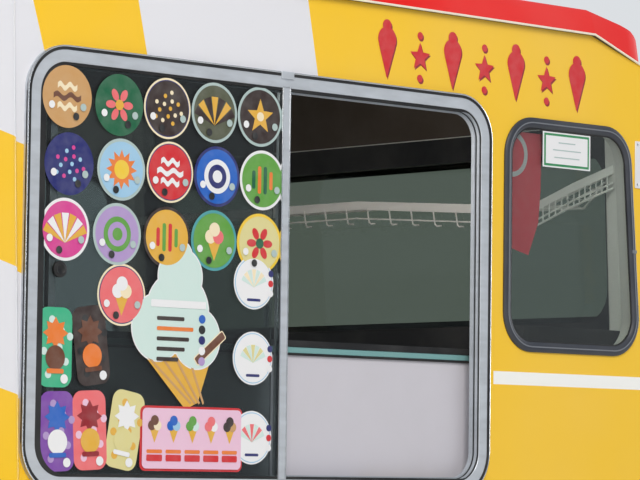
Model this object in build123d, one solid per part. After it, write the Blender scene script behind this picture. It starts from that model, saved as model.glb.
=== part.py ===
from build123d import *
import math
import os

# Ice cream truck: a panel-built vending body on a short-bonnet van cab.
# Millimetres. +X points to the rear, the serving side is at -Y, +Z is up.
# The origin is on the ground, at the middle of the vehicle's length and width.

# Chassis and wheels
REAR_AXLE_X = 1600.0
WHEELBASE = 3250.0
HALF_TRACK = 870.0
TYRE_R = 340.0
TYRE_W = 195.0
RIM_R = 190.0
RIM_W = 152.0
RIM_T = 9.0
STUB_R = 24.0
RUN_CLEAR = 0.4
ARCH_R = 430.0
KINGPIN_Y = 760.0
KINGPIN_R = 14.0
RAIL_Y = 410.0
RAIL_W = 60.0
RAIL_H = 120.0
RAIL_Z = 440.0
RAIL_FRONT_IN = 145.0
RAIL_REAR_IN = 46.0
BEAM_TOP = 26.0
BEAM_LOW = 54.0
CROSS_H = 40.0
FLOOR_T = 40.0

# Vending body
HATCH_X = 520.0
HALF_W = 1000.0
PROUD = 30.0
WALL = 45.0
SILL_Z = 380.0
GUTTER_Z = 2357.0
GUTTER_DROP_X = 2267.0
GUTTER_DROP = 0.325
REAR_X = 2556.0
REAR_REF_Z = 1100.0
REAR_RAKE = 0.050
WINDOW_RAKE = 0.0804
CORNER_R = 38.0
REAR_WALL_Z = 480.0
CREASE_X = 499.0
CREASE_REF_Z = 1274.0
CREASE_RAKE = 0.0345
CREASE_R = 20.0
BPOST_X = -330.0
FLARE = 60.0

# Serving hatch, as measured on the side panel
HATCH_W = 1400.0
HATCH_TOP_Z = 2171.0
HATCH_BOTTOM_Z = 1225.0
HATCH_CORNER_R = 105.0
FRAME_BAND = 38.0
FRAME_LIP = 12.0
FRAME_PROUD = 14.0
FRAME_GRIP = 12.0
SLIDE_SET = 10.0
POST_X = 728.0
POST_W = 23.0
PANE_T = 6.0
COUNTER_Z = 1561.0
COUNTER_T = 30.0
COUNTER_D = 460.0

# Windows in rubber seals
SEAL_W = 24.0
SEAL_LIP = 12.0
SEAL_PROUD = 8.0
GLASS_T = 6.0
GLASS_CLEAR = 0.4
QUARTER_X = 1440.0
QUARTER_W = 492.0
QUARTER_TOP_Z = 2136.0
QUARTER_BOTTOM_Z = 1572.0
QUARTER_R = 95.0
OFF_WINDOW_X = 60.0
OFF_WINDOW_W = 1240.0
OFF_WINDOW_Z = 1572.0
OFF_WINDOW_TOP = 2136.0
REAR_WINDOW_IN = 120.0
REAR_WINDOW_Z = 1655.0
REAR_WINDOW_TOP = 2110.0

# Roof crown
CROWN_T = 22.0
CROWN_LIP = 12.0

# Cab
CAB_STEP = 15.0
CAB_TUMBLE = 50.0
CAB_WALL = 50.0
BELT_Z = 1180.0
COWL_X = -1990.0
COWL_Z = 1165.0
HEADER_X = -1400.0
HEADER_Z = 2045.0
CAP_X = -720.0
NOSE_X = -2545.0
NOSE_BOW = 30.0
NOSE_BROW_X = -2450.0
NOSE_BROW_Z = 962.0
BUMPER_TOP_Z = 560.0
BUMPER_BOTTOM_Z = 300.0
BUMPER_PROUD = 30.0
BUMPER_T = 70.0
BUMPER_END_X = -2190.0
REAR_BUMPER_T = 42.0
GAP = 6.0
HINGE_X = -1566.0
DOOR_REAR_X = -345.0
DOOR_Z = 420.0
DOOR_TOP_Z = 1965.0
BONNET_HALF = 770.0
BONNET_T = 30.0
BONNET_HINGE_X = -2062.0
BONNET_HINGE_Y = 560.0
HINGE_LIFT = 14.0
HINGE_EYE_R = 8.0
HINGE_PIN_R = 4.0
HINGE_EYE_W = 40.0
HINGE_LEAF = 46.0
PIN_FIT = 0.05
LAMP_Z = 650.0
LAMP_TOP_Z = 850.0
LAMP_IN_Y = 600.0
LAMP_OUT_Y = 870.0
LAMP_DEPTH = 215.0
GRILLE_DEPTH = 165.0
HINGE_CLEAR = 10.0
PIPE_R = 25.0
PIPE_Y = -250.0
PIPE_Z = 402.0

# Places worked out from the sizes above
FRONT_AXLE_X = REAR_AXLE_X - WHEELBASE
HUB_Z = TYRE_R
RAIL_FRONT_X = NOSE_X + RAIL_FRONT_IN
RAIL_REAR_X = REAR_X - RAIL_REAR_IN
RAIL_TOP = RAIL_Z + RAIL_H
FLOOR_Z = RAIL_TOP + CROSS_H
FLOOR_TOP = FLOOR_Z + FLOOR_T
IN_Y = HALF_W - WALL
CAB_HALF_W = HALF_W - CAB_STEP
REAR_WINDOW_HALF = HALF_W - REAR_WINDOW_IN
BODY_Y = HALF_W + PROUD
TUMBLE_H = GUTTER_Z + 400.0 - BELT_Z
REAR_BUMPER_X = -(NOSE_X - NOSE_BOW - BUMPER_PROUD)
SIDES = (("near", -1), ("off", 1))

# Reach of the cutting blocks: clear of the widest, foremost and highest part of the body
FAR_Y = HALF_W + 200.0
AHEAD_X = NOSE_X - 155.0
FAR_Z = GUTTER_Z + 643.0


def box(x0, x1, y0, y1, z0, z1):
    return Pos((x0 + x1) / 2, (y0 + y1) / 2, (z0 + z1) / 2) * Box(abs(x1 - x0), abs(y1 - y0), abs(z1 - z0))


def side_prism(outline, y0, y1):
    """Solid of an outline drawn in the X-Z plane, from y0 to y1."""
    wire = Polyline(*[(x, y0, z) for x, z in outline], close=True)
    return extrude(make_face(wire), y1 - y0, dir=(0, 1, 0))


def rod(start, end, r):
    along = Vector(*end) - Vector(*start)
    return Plane(origin=start, z_dir=along) * Pos(0, 0, along.length / 2) * Cylinder(r, along.length)


def turned(profile, y, x, z):
    """Ring turned about a wheel axle: profile rows are (radius, distance outboard)."""
    wire = Polyline(*[(r, 0, w) for r, w in profile], close=True)
    ring = revolve(make_face(wire), Axis.Z)
    side = -1 if y < 0 else 1
    return Plane(origin=(x, y, z), z_dir=(0, side, 0)) * ring


def mirrored(shape):
    return mirror(shape, about=Plane.XZ)


def solids(*shapes):
    found = []
    for shape in shapes:
        found.extend(shape.solids())
    return Compound(children=found)


def gutter_z(x):
    return GUTTER_Z - max(0.0, x - GUTTER_DROP_X) * GUTTER_DROP


def rear_x(z):
    return REAR_X - (z - REAR_REF_Z) * REAR_RAKE


def crease_x(z):
    return CREASE_X - (z - CREASE_REF_Z) * CREASE_RAKE


def cab_half(z):
    return CAB_HALF_W - CAB_TUMBLE * max(0.0, z - BELT_Z) / TUMBLE_H


# Where the dropped end of the gutter meets the raked rear wall
drop_z = GUTTER_Z + GUTTER_DROP_X * GUTTER_DROP
TAIL_X = (REAR_X - (drop_z - REAR_REF_Z) * REAR_RAKE) / (1 - GUTTER_DROP * REAR_RAKE)
TAIL_Z = gutter_z(TAIL_X)


NODES = {}


# Window kit: an opening in a panel, a pane and the rubber seal that holds it

def outline_face(points, r):
    wire = FilletPolyline(*points, radius=r, close=True)
    return make_face(wire)


def window(points, r, plane, wall):
    """Points in the panel's own plane, whose z looks outward; returns cut, pane and seal."""
    face = outline_face(points, r)
    hole = offset(face, -SEAL_LIP)
    cut = Pos(0, 0, -wall - 20) * extrude(hole, wall + 40)
    pane = Pos(0, 0, -GLASS_T) * extrude(offset(face, -SEAL_LIP - GLASS_CLEAR), GLASS_T)
    seal = extrude(face - offset(face, -SEAL_W), SEAL_PROUD)
    return plane * cut, plane * pane, plane * seal


NEAR_PLANE = Plane(origin=(0, -HALF_W, 0), x_dir=(1, 0, 0), z_dir=(0, -1, 0))
REAR_UP = math.hypot(1, REAR_RAKE)
REAR_PLANE = Plane(origin=(rear_x(0), 0, 0), x_dir=(0, 1, 0), z_dir=(1, 0, REAR_RAKE))

quarter_top_x = HATCH_X + QUARTER_X + QUARTER_W - (QUARTER_TOP_Z - QUARTER_BOTTOM_Z) * WINDOW_RAKE
QUARTER = [
    (HATCH_X + QUARTER_X, QUARTER_BOTTOM_Z),
    (HATCH_X + QUARTER_X + QUARTER_W, QUARTER_BOTTOM_Z),
    (quarter_top_x, QUARTER_TOP_Z),
    (HATCH_X + QUARTER_X, QUARTER_TOP_Z),
]
OFF_WINDOW = [
    (HATCH_X + OFF_WINDOW_X, OFF_WINDOW_Z),
    (HATCH_X + OFF_WINDOW_X + OFF_WINDOW_W, OFF_WINDOW_Z),
    (HATCH_X + OFF_WINDOW_X + OFF_WINDOW_W, OFF_WINDOW_TOP),
    (HATCH_X + OFF_WINDOW_X, OFF_WINDOW_TOP),
]
REAR_WINDOW = [
    (-REAR_WINDOW_HALF, REAR_WINDOW_Z * REAR_UP),
    (REAR_WINDOW_HALF, REAR_WINDOW_Z * REAR_UP),
    (REAR_WINDOW_HALF, REAR_WINDOW_TOP * REAR_UP),
    (-REAR_WINDOW_HALF, REAR_WINDOW_TOP * REAR_UP),
]
quarter = window(QUARTER, QUARTER_R, NEAR_PLANE, WALL)
off_window = window(OFF_WINDOW, QUARTER_R, NEAR_PLANE, WALL)
rear_window = window(REAR_WINDOW, QUARTER_R, REAR_PLANE, WALL)


# Vending body: two side walls, the rear wall and the proud forward panels

def body_side():
    """Near side wall as a slab, without its windows."""
    arch_end = REAR_AXLE_X + ARCH_R
    outline = [
        (crease_x(SILL_Z), SILL_Z),
        (arch_end, SILL_Z),
        (arch_end + 30, REAR_WALL_Z),
        (rear_x(REAR_WALL_Z), REAR_WALL_Z),
        (TAIL_X, TAIL_Z),
        (GUTTER_DROP_X, GUTTER_Z),
        (crease_x(GUTTER_Z), GUTTER_Z),
    ]
    slab = side_prism(outline, -HALF_W, -IN_Y)
    upright = slab.edges().filter_by(lambda e: e.length > 1000 and e.center().X > REAR_X - 100)
    slab = fillet(upright.filter_by(lambda e: e.center().Y < -IN_Y - 1), CORNER_R)
    arch = rod((REAR_AXLE_X, -HALF_W - 50, HUB_Z), (REAR_AXLE_X, -IN_Y + 50, HUB_Z), ARCH_R)
    return slab - arch


def hatch_outline(inset):
    height = HATCH_TOP_Z - HATCH_BOTTOM_Z
    face = RectangleRounded(HATCH_W - 2 * inset, height - 2 * inset, HATCH_CORNER_R - inset)
    return Pos(HATCH_X + HATCH_W / 2, (HATCH_TOP_Z + HATCH_BOTTOM_Z) / 2, 0) * face


hatch_hole = NEAR_PLANE * Pos(0, 0, -WALL - 20) * extrude(hatch_outline(FRAME_LIP), WALL + 40)
NODES["side_wall_near"] = body_side() - hatch_hole - quarter[0]
NODES["side_wall_off"] = mirrored(body_side() - off_window[0] - quarter[0])

# Rear wall: a raked slab between the side walls
wall_x = WALL * REAR_UP
rear_slab = side_prism(
    [
        (rear_x(REAR_WALL_Z) - wall_x, REAR_WALL_Z),
        (rear_x(REAR_WALL_Z), REAR_WALL_Z),
        (TAIL_X, TAIL_Z),
        (TAIL_X - wall_x, gutter_z(TAIL_X - wall_x)),
    ],
    -IN_Y,
    IN_Y,
)
PLATE_HOLE_R = 3.0
PLATE_PITCH = 400.0
PLATE_Z = 905.0
PLINTH_LOW = 840.0
PLINTH_TOP = 970.0
PLINTH_HALF = 270.0
plate_x = rear_x(PLATE_Z - 5) + 6
plinth = side_prism(
    [
        (rear_x(PLINTH_LOW) - 2, PLINTH_LOW),
        (plate_x, PLINTH_LOW),
        (plate_x, PLINTH_TOP),
        (rear_x(PLINTH_TOP) - 2, PLINTH_TOP),
    ],
    -PLINTH_HALF,
    PLINTH_HALF,
)
plate_holes = [
    rod((plate_x + 5, y, PLATE_Z), (plate_x - 30, y, PLATE_Z), PLATE_HOLE_R)
    for y in (-PLATE_PITCH / 2, PLATE_PITCH / 2)
]
NODES["rear_wall"] = rear_slab + plinth - rear_window[0] - plate_holes[0] - plate_holes[1]


def forward_panel():
    """Proud panel between the cab door and the hatch panel, flared from the cab at its front edge."""
    outline = [
        (BPOST_X, SILL_Z),
        (crease_x(SILL_Z), SILL_Z),
        (crease_x(GUTTER_Z), GUTTER_Z),
        (BPOST_X, GUTTER_Z),
    ]
    slab = side_prism(outline, -BODY_Y, -IN_Y)
    crease = slab.edges().filter_by(lambda e: e.center().Y < -BODY_Y + 1 and e.length > 1000)
    slab = fillet(crease.filter_by(lambda e: e.center().X > CREASE_X - 100), CREASE_R)
    slab += box(BPOST_X, BPOST_X + FLARE, -BODY_Y, -CAB_HALF_W + CAB_WALL + CAB_TUMBLE, SILL_Z, GUTTER_Z)
    ends = []
    for x, belt, top in ((BPOST_X, CAB_HALF_W, cab_half(GUTTER_Z)), (BPOST_X + FLARE, BODY_Y, BODY_Y)):
        ring = [(-belt, SILL_Z), (-belt, BELT_Z), (-top, GUTTER_Z), (0, GUTTER_Z), (0, SILL_Z)]
        ends.append(make_face(Polyline(*[(x, y, z) for y, z in ring], close=True)))
    flared = loft(ends, ruled=True)
    flared += box(BPOST_X + FLARE, REAR_X, -BODY_Y, 0, SILL_Z, GUTTER_Z)
    return slab & flared


forward = forward_panel()
NODES["forward_panels"] = solids(forward, mirrored(forward))


# Roof crown: cross-sections from the rear to the windscreen header

CAP_LIP = CROWN_LIP / 2
# Columns: x, gutter half width, gutter z, shoulder half width, shoulder z, top z
CROWN = [
    (TAIL_X, HALF_W, TAIL_Z, 862.0, TAIL_Z + 78, TAIL_Z + 98),
    (GUTTER_DROP_X, HALF_W + CROWN_LIP, GUTTER_Z, 850.0, GUTTER_Z + 88, GUTTER_Z + 124),
    (CREASE_X - 10, HALF_W + CROWN_LIP, GUTTER_Z, 850.0, GUTTER_Z + 88, GUTTER_Z + 134),
    (CREASE_X - 60, BODY_Y + CROWN_LIP, GUTTER_Z, 860.0, GUTTER_Z + 88, GUTTER_Z + 135),
    (BPOST_X + FLARE, BODY_Y + CROWN_LIP, GUTTER_Z, 860.0, GUTTER_Z + 88, GUTTER_Z + 135),
    (BPOST_X, cab_half(GUTTER_Z) + CAP_LIP, GUTTER_Z, 820.0, GUTTER_Z + 84, GUTTER_Z + 130),
    (CAP_X, cab_half(GUTTER_Z) + CAP_LIP, GUTTER_Z, 800.0, GUTTER_Z + 78, GUTTER_Z + 118),
    (HEADER_X, cab_half(HEADER_Z) + CAP_LIP, HEADER_Z, 780.0, HEADER_Z + 58, HEADER_Z + 76),
]


def crown_loft(shell):
    """Ruled loft of the crown; shell > 0 gives the space under it."""
    sections = []
    last = len(CROWN) - 1
    for i, (x, w, zg, ws, zs, zt) in enumerate(CROWN):
        if shell and i in (0, last):
            x += shell if i == last else -shell
        low = zg - (60 if shell else 0)
        w, ws, zs, zt = w - shell * 1.6, ws - shell * 0.6, zs - shell, zt - shell
        half = ws * 0.45
        ring = [(-w, low), (-w, zg), (-ws, zs), (-half, zt), (half, zt), (ws, zs), (w, zg), (w, low)]
        if not shell:
            ring = ring[1:-1]
        wire = Polyline(*[(x, y, z) for y, z in ring], close=True)
        sections.append(make_face(wire))
    return loft(sections, ruled=True)


NODES["roof_crown"] = crown_loft(0) - crown_loft(CROWN_T)


# Cab: one outer form, made hollow and then split where the real panels meet

def cab_outline(inset, spill):
    """Side outline of the cab from the sill round the nose, windscreen and roof cap."""
    outer = [
        (BPOST_X + spill, SILL_Z - spill),
        (NOSE_X - 5, SILL_Z - spill),
        (NOSE_X - 25, BUMPER_TOP_Z + 140),
        (NOSE_X, LAMP_TOP_Z + 18),
        (NOSE_BROW_X, NOSE_BROW_Z),
        (COWL_X, COWL_Z),
        (HEADER_X, HEADER_Z + spill),
        (CAP_X, GUTTER_Z + spill),
        (BPOST_X + spill, GUTTER_Z + spill),
    ]
    if spill:
        slope = (HEADER_X - COWL_X) / (HEADER_Z - COWL_Z)
        outer[6] = (HEADER_X + spill * slope, HEADER_Z + spill)
    wire = Polyline(*[(x, 0, z) for x, z in outer], close=True)
    face = make_face(wire)
    return offset(face, -inset, kind=Kind.INTERSECTION) if inset else face


def cab_plan(inset, spill):
    half = [
        (BPOST_X + spill, CAB_HALF_W),
        (FRONT_AXLE_X, CAB_HALF_W),
        (FRONT_AXLE_X - 660, CAB_HALF_W - 55),
        (NOSE_X + 5, 660.0),
        (NOSE_X - NOSE_BOW, 0.0),
    ]
    ring = half + [(x, -y) for x, y in reversed(half[:-1])]
    face = make_face(Polyline(*[(x, y, 0) for x, y in ring], close=True))
    soft = face.vertices().filter_by(lambda v: abs(v.Y) > 10 and v.X < FRONT_AXLE_X + 10)
    face = fillet(soft.filter_by(lambda v: v.X < FRONT_AXLE_X - 500), 140)
    return offset(face, -inset, kind=Kind.INTERSECTION) if inset else face


def cab_end(inset, spill):
    half = [
        (CAB_HALF_W, SILL_Z - spill - 10),
        (CAB_HALF_W, BELT_Z),
        (CAB_HALF_W - CAB_TUMBLE, BELT_Z + TUMBLE_H),
    ]
    ring = half + [(-y, z) for y, z in reversed(half)]
    face = make_face(Polyline(*[(0, y, z) for y, z in ring], close=True))
    return offset(face, -inset, kind=Kind.INTERSECTION) if inset else face


def cab_form(inset, spill=0.0):
    side = Pos(0, -FAR_Y, 0) * extrude(cab_outline(inset, spill), 2 * FAR_Y, dir=(0, 1, 0))
    plan = extrude(cab_plan(inset, spill), FAR_Z, dir=(0, 0, 1))
    end = Pos(AHEAD_X, 0, 0) * extrude(cab_end(inset, spill), -AHEAD_X, dir=(1, 0, 0))
    return side & plan & end


cab_outer = cab_form(0.0)
cab_skin = cab_outer - cab_form(CAB_WALL, 300.0)
nose_skin = cab_outer - cab_form(BONNET_T, 300.0)

ws_up = Vector(HEADER_X - COWL_X, 0, HEADER_Z - COWL_Z)
ws_len = ws_up.length
ws_dir = ws_up.normalized()
SCREEN_PLANE = Plane(origin=(COWL_X, 0, COWL_Z), x_dir=(0, 1, 0), z_dir=(-ws_dir.Z, 0, ws_dir.X))
SCREEN_BOTTOM = 90.0
SCREEN_TOP = ws_len - 80.0
SCREEN_HALF_LOW = CAB_HALF_W - 105.0
SCREEN_HALF_TOP = CAB_HALF_W - 140.0
SCREEN_R = 80.0
screen_points = [
    (-SCREEN_HALF_LOW, SCREEN_BOTTOM),
    (SCREEN_HALF_LOW, SCREEN_BOTTOM),
    (SCREEN_HALF_TOP, SCREEN_TOP),
    (-SCREEN_HALF_TOP, SCREEN_TOP),
]


def facing_up(plane, points):
    """Keeps the local y of a window plane pointing up the panel."""
    return [(x, y if plane.y_dir.Z > 0 else -y) for x, y in points]


screen = window(facing_up(SCREEN_PLANE, screen_points), SCREEN_R, SCREEN_PLANE, CAB_WALL + 60)

# Doors
pillar = 130.0


def screen_x(z):
    return COWL_X + (z - COWL_Z) * (HEADER_X - COWL_X) / (HEADER_Z - COWL_Z)


def door_outline(g):
    """Side outline of the cab door, g smaller all round."""
    front = HINGE_X + g - GAP
    knee = COWL_Z + (front - pillar - COWL_X) * (HEADER_Z - COWL_Z) / (HEADER_X - COWL_X)
    return [
        (DOOR_REAR_X - g, DOOR_Z + g),
        (FRONT_AXLE_X + ARCH_R + 15 + g, DOOR_Z + g),
        (FRONT_AXLE_X + ARCH_R - 60 + g, 660.0 + g),
        (FRONT_AXLE_X + 175 + g, 800.0 + g),
        (front, 850.0 + g),
        (front, knee - g),
        (screen_x(DOOR_TOP_Z - g) + pillar + g, DOOR_TOP_Z - g),
        (DOOR_REAR_X - g, DOOR_TOP_Z - g),
    ]


DOOR_REACH = 285.0
door_cut = side_prism(door_outline(0.0), -FAR_Y, -CAB_HALF_W + DOOR_REACH)
door_body = cab_skin & side_prism(door_outline(GAP), -FAR_Y, -CAB_HALF_W + DOOR_REACH)
tumble = math.atan(CAB_TUMBLE / TUMBLE_H)
DOOR_PLANE = Plane(
    origin=(0, -CAB_HALF_W, BELT_Z), x_dir=(1, 0, 0), z_dir=(0, -math.cos(tumble), math.sin(tumble))
)
DOOR_GLASS_LOW = 45.0
DOOR_GLASS_TOP = DOOR_TOP_Z - BELT_Z - 85.0
front_low = HINGE_X + 70.0
DOOR_GLASS = [
    (front_low, DOOR_GLASS_LOW),
    (DOOR_REAR_X - 90, DOOR_GLASS_LOW),
    (DOOR_REAR_X - 90, DOOR_GLASS_TOP),
    (screen_x(BELT_Z + DOOR_GLASS_TOP) + pillar + 80, DOOR_GLASS_TOP),
    (front_low, (front_low - pillar - 45 - COWL_X) * (HEADER_Z - COWL_Z) / (HEADER_X - COWL_X)),
]
door_window = window(DOOR_GLASS, 35.0, DOOR_PLANE, CAB_WALL)
door_near = door_body - door_window[0]
NODES["door_near"] = door_near
NODES["door_off"] = mirrored(door_near)
NODES["door_glass_near"] = solids(door_window[1])
NODES["door_glass_off"] = solids(mirrored(door_window[1]))

# Nose pieces
BONNET_REAR_X = BONNET_HINGE_X - HINGE_CLEAR
BONNET_LOW_Z = LAMP_TOP_Z + 15.0
LINER_IN_Y = 600.0
arch_near = rod((FRONT_AXLE_X, -FAR_Y, HUB_Z), (FRONT_AXLE_X, -LINER_IN_Y + 40, HUB_Z), ARCH_R)
arches = arch_near + mirrored(arch_near)
bonnet_in = BONNET_HALF - GAP
bonnet_region = box(AHEAD_X, BONNET_REAR_X, -BONNET_HALF, BONNET_HALF, BONNET_LOW_Z, FAR_Z)
bonnet_zone = box(AHEAD_X, BONNET_REAR_X - GAP, -bonnet_in, bonnet_in, BONNET_LOW_Z + GAP, FAR_Z)

# Bonnet hinges: an eye on the bonnet turns on a pin between two lugs on the cab
bonnet_slope = (COWL_Z - NOSE_BROW_Z) / (COWL_X - NOSE_BROW_X)
hinge_x = BONNET_REAR_X - GAP / 2
hinge_z = COWL_Z + (hinge_x - COWL_X) * bonnet_slope + HINGE_LIFT * math.hypot(1, bonnet_slope)


def hinge_leaf(reach, y0, y1):
    """Leaf from the hinge barrel down on to the sloping panel; reach < 0 runs forward."""
    step = 3.0 if reach > 0 else -3.0
    surface = COWL_Z + (hinge_x + reach - COWL_X) * bonnet_slope
    under = COWL_Z + (hinge_x + step - COWL_X) * bonnet_slope
    outline = [
        (hinge_x, hinge_z + HINGE_EYE_R),
        (hinge_x + reach, surface + 3),
        (hinge_x + reach, surface - 3),
        (hinge_x + 2 * step, under - 3),
        (hinge_x + step, hinge_z - HINGE_EYE_R / 2),
        (hinge_x, hinge_z),
    ]
    return side_prism(outline, y0, y1)


bonnet = nose_skin & bonnet_zone
bonnet_lugs = None
for side in (-1, 1):
    y = side * BONNET_HINGE_Y
    y0, y1 = y - HINGE_EYE_W / 2, y + HINGE_EYE_W / 2
    eye = rod((hinge_x, y0, hinge_z), (hinge_x, y1, hinge_z), HINGE_EYE_R)
    eye += hinge_leaf(-HINGE_LEAF, y0, y1)
    bonnet += eye - rod((hinge_x, y0 - 1, hinge_z), (hinge_x, y1 + 1, hinge_z), HINGE_PIN_R + PIN_FIT)
    lug_in = GAP / 2
    lug_out = lug_in + HINGE_EYE_W / 2
    pin = rod((hinge_x, y0 - lug_out, hinge_z), (hinge_x, y1 + lug_out, hinge_z), HINGE_PIN_R)
    for e0, e1 in ((y0 - lug_out, y0 - lug_in), (y1 + lug_in, y1 + lug_out)):
        pin += rod((hinge_x, e0, hinge_z), (hinge_x, e1, hinge_z), HINGE_EYE_R)
        pin += hinge_leaf(HINGE_LEAF, e0, e1)
    bonnet_lugs = pin if bonnet_lugs is None else bonnet_lugs + pin
NODES["bonnet"] = bonnet
lamp_zone = box(AHEAD_X, NOSE_X + LAMP_DEPTH, -LAMP_OUT_Y, -LAMP_IN_Y, LAMP_Z, LAMP_TOP_Z)
NODES["headlamps"] = solids(cab_skin & lamp_zone, mirrored(cab_skin & lamp_zone))
BUMPER_GAP = 4.0
grille_low = BUMPER_TOP_Z + BUMPER_GAP
grille = nose_skin & box(AHEAD_X, NOSE_X + GRILLE_DEPTH, -LAMP_IN_Y, LAMP_IN_Y, grille_low, BONNET_LOW_Z)
GRILLE_BARS = 5
SLOT_END = 45.0
SLOT_MIDDLE = 20.0
slot_pitch = (LAMP_TOP_Z - LAMP_Z) / GRILLE_BARS
for i in range(GRILLE_BARS):
    low = LAMP_Z + 8 + i * slot_pitch
    for y0, y1 in ((-LAMP_IN_Y + SLOT_END, -SLOT_MIDDLE), (SLOT_MIDDLE, LAMP_IN_Y - SLOT_END)):
        grille -= box(AHEAD_X, NOSE_X + GRILLE_DEPTH + 80, y0, y1, low, low + slot_pitch * 0.58)
NODES["grille"] = grille
wing_volume = box(AHEAD_X, HINGE_X - GAP, -FAR_Y, -LAMP_IN_Y, grille_low, COWL_Z)
wing_volume -= box(BONNET_REAR_X, HINGE_X, -BONNET_HALF, 0, LAMP_TOP_Z - 50, COWL_Z)
wing = (nose_skin & wing_volume) - bonnet_region - lamp_zone - arches - door_cut
wing_main = wing.solids().sort_by(SortBy.VOLUME)[-1]
NODES["front_wings"] = solids(wing_main, mirrored(wing_main))
LINER_T = 6.0
liner_r = ARCH_R + LINER_T
liner_end = LINER_IN_Y + LINER_T
liner_out = CAB_HALF_W - CAB_WALL - HINGE_CLEAR
liner_room = rod((FRONT_AXLE_X, -FAR_Y, HUB_Z), (FRONT_AXLE_X, -LINER_IN_Y, HUB_Z), liner_r)
liner = liner_room - rod((FRONT_AXLE_X, -FAR_Y, HUB_Z), (FRONT_AXLE_X, -liner_end, HUB_Z), ARCH_R)
liner &= box(FRONT_AXLE_X - liner_r, FRONT_AXLE_X + liner_r, -liner_out, 0, RAIL_TOP, HUB_Z + liner_r)
liner &= cab_form(CAB_WALL, 300.0)
NODES["arch_liners"] = solids(liner, mirrored(liner))

# Front bumper wraps the nose below the grille
bumper_plan = offset(cab_plan(0.0, 0.0), BUMPER_PROUD)
bumper_out = Pos(0, 0, BUMPER_BOTTOM_Z) * extrude(bumper_plan, BUMPER_TOP_Z - BUMPER_BOTTOM_Z)
bumper_in = extrude(offset(cab_plan(0.0, 0.0), BUMPER_PROUD - BUMPER_T), FAR_Z)
bumper = (bumper_out & box(AHEAD_X, BUMPER_END_X, -FAR_Y, FAR_Y, 0, FAR_Z)) - bumper_in
INTAKE_HALF = 520.0
INTAKE_LOW = 60.0
INTAKE_TOP = 130.0
intake_low, intake_top = BUMPER_BOTTOM_Z + INTAKE_LOW, BUMPER_BOTTOM_Z + INTAKE_TOP
bumper -= box(AHEAD_X, NOSE_X + LAMP_DEPTH, -INTAKE_HALF, INTAKE_HALF, intake_low, intake_top)
NODES["front_bumper"] = bumper

# Cab shell: what stays round the doors, screen and nose pieces
shell = cab_skin - door_cut - mirrored(door_cut) - screen[0] - arches
shell -= box(AHEAD_X, BONNET_REAR_X, -FAR_Y, FAR_Y, 0, FAR_Z)
for y0, y1 in ((-FAR_Y, -BONNET_HALF), (BONNET_HALF, FAR_Y)):
    shell -= box(AHEAD_X, HINGE_X - GAP, y0, y1, 0, COWL_Z)
FIREWALL_X = COWL_X + 25.0
FIREWALL_T = 20.0
cab_room = cab_form(CAB_WALL, 300.0)
firewall = box(FIREWALL_X, FIREWALL_X + FIREWALL_T, -FAR_Y, FAR_Y, FLOOR_Z, FAR_Z) & cab_room
shell = shell + (firewall - liner_room - mirrored(liner_room))
NODES["cab_shell"] = shell + bonnet_lugs

# Floor with boxes over the rear wheels
FLOOR_REAR_X = rear_x(FLOOR_TOP) - WALL * REAR_UP - 1
cab_floor = box(FIREWALL_X + FIREWALL_T, BPOST_X, -IN_Y, IN_Y, FLOOR_Z, FLOOR_TOP) & cab_room
floor = box(BPOST_X, FLOOR_REAR_X, -IN_Y, IN_Y, FLOOR_Z, FLOOR_TOP)
for y0, y1 in ((IN_Y - 100, FAR_Y), (-FAR_Y, -IN_Y + 100)):
    floor -= box(BPOST_X - 1, BPOST_X + FLARE, y0, y1, 0, FAR_Z)
floor = floor + cab_floor
BOX_T = 6.0
BOX_IN_Y = 690.0
BOX_TOP = HUB_Z + ARCH_R + 10
for side in (-1, 1):
    x0, x1 = REAR_AXLE_X - ARCH_R - 10, REAR_AXLE_X + ARCH_R + 10
    outer = side * (BOX_IN_Y - BOX_T)
    cover = box(x0 - BOX_T, x1 + BOX_T, outer, side * IN_Y, FLOOR_Z, BOX_TOP + BOX_T)
    floor = floor + cover - box(x0, x1, side * BOX_IN_Y, side * IN_Y, 0, BOX_TOP)
floor = floor - liner_room - mirrored(liner_room)
NODES["floor"] = floor

# Chassis: two rails, and crossmembers that carry the floor on their bearers
SEAT_HALF = 60.0
HORN_L = 200.0
CROSS_HALF = 30.0
rail_in = RAIL_Y - RAIL_W / 2
rails = []
for side in (-1, 1):
    y = side * RAIL_Y
    rail = box(RAIL_FRONT_X, RAIL_REAR_X, y - RAIL_W / 2, y + RAIL_W / 2, RAIL_Z, RAIL_TOP)
    rail += box(FRONT_AXLE_X - SEAT_HALF, FRONT_AXLE_X + SEAT_HALF, y - 45, y + 45, HUB_Z + BEAM_TOP, RAIL_Z)
    rail += box(RAIL_FRONT_X - HORN_L, RAIL_FRONT_X, y - 50, y + 50, RAIL_Z, RAIL_TOP - 20) & bumper_in
    rails.append(rail)
NODES["chassis_rails"] = solids(*rails)
# Columns: x, half length of the floor bearer on top (0 where the floor doesn't reach)
bearer_half = IN_Y - 60.0
CROSSMEMBERS = (
    (RAIL_FRONT_X + 30, 0.0),
    (FRONT_AXLE_X + ARCH_R + 30, bearer_half),
    (BPOST_X + 110, bearer_half),
    (HATCH_X + 40, bearer_half),
    (REAR_AXLE_X - ARCH_R - 80, bearer_half),
    (REAR_AXLE_X + 550, bearer_half),
    (RAIL_REAR_X - 40, bearer_half),
)
members = []
for x, reach in CROSSMEMBERS:
    member = box(x - CROSS_HALF, x + CROSS_HALF, -rail_in, rail_in, RAIL_Z + 30, RAIL_TOP)
    if reach:
        member += box(x - CROSS_HALF, x + CROSS_HALF, -reach, reach, RAIL_TOP, FLOOR_Z)
    members.append(member)
NODES["crossmembers"] = solids(*members)

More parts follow.
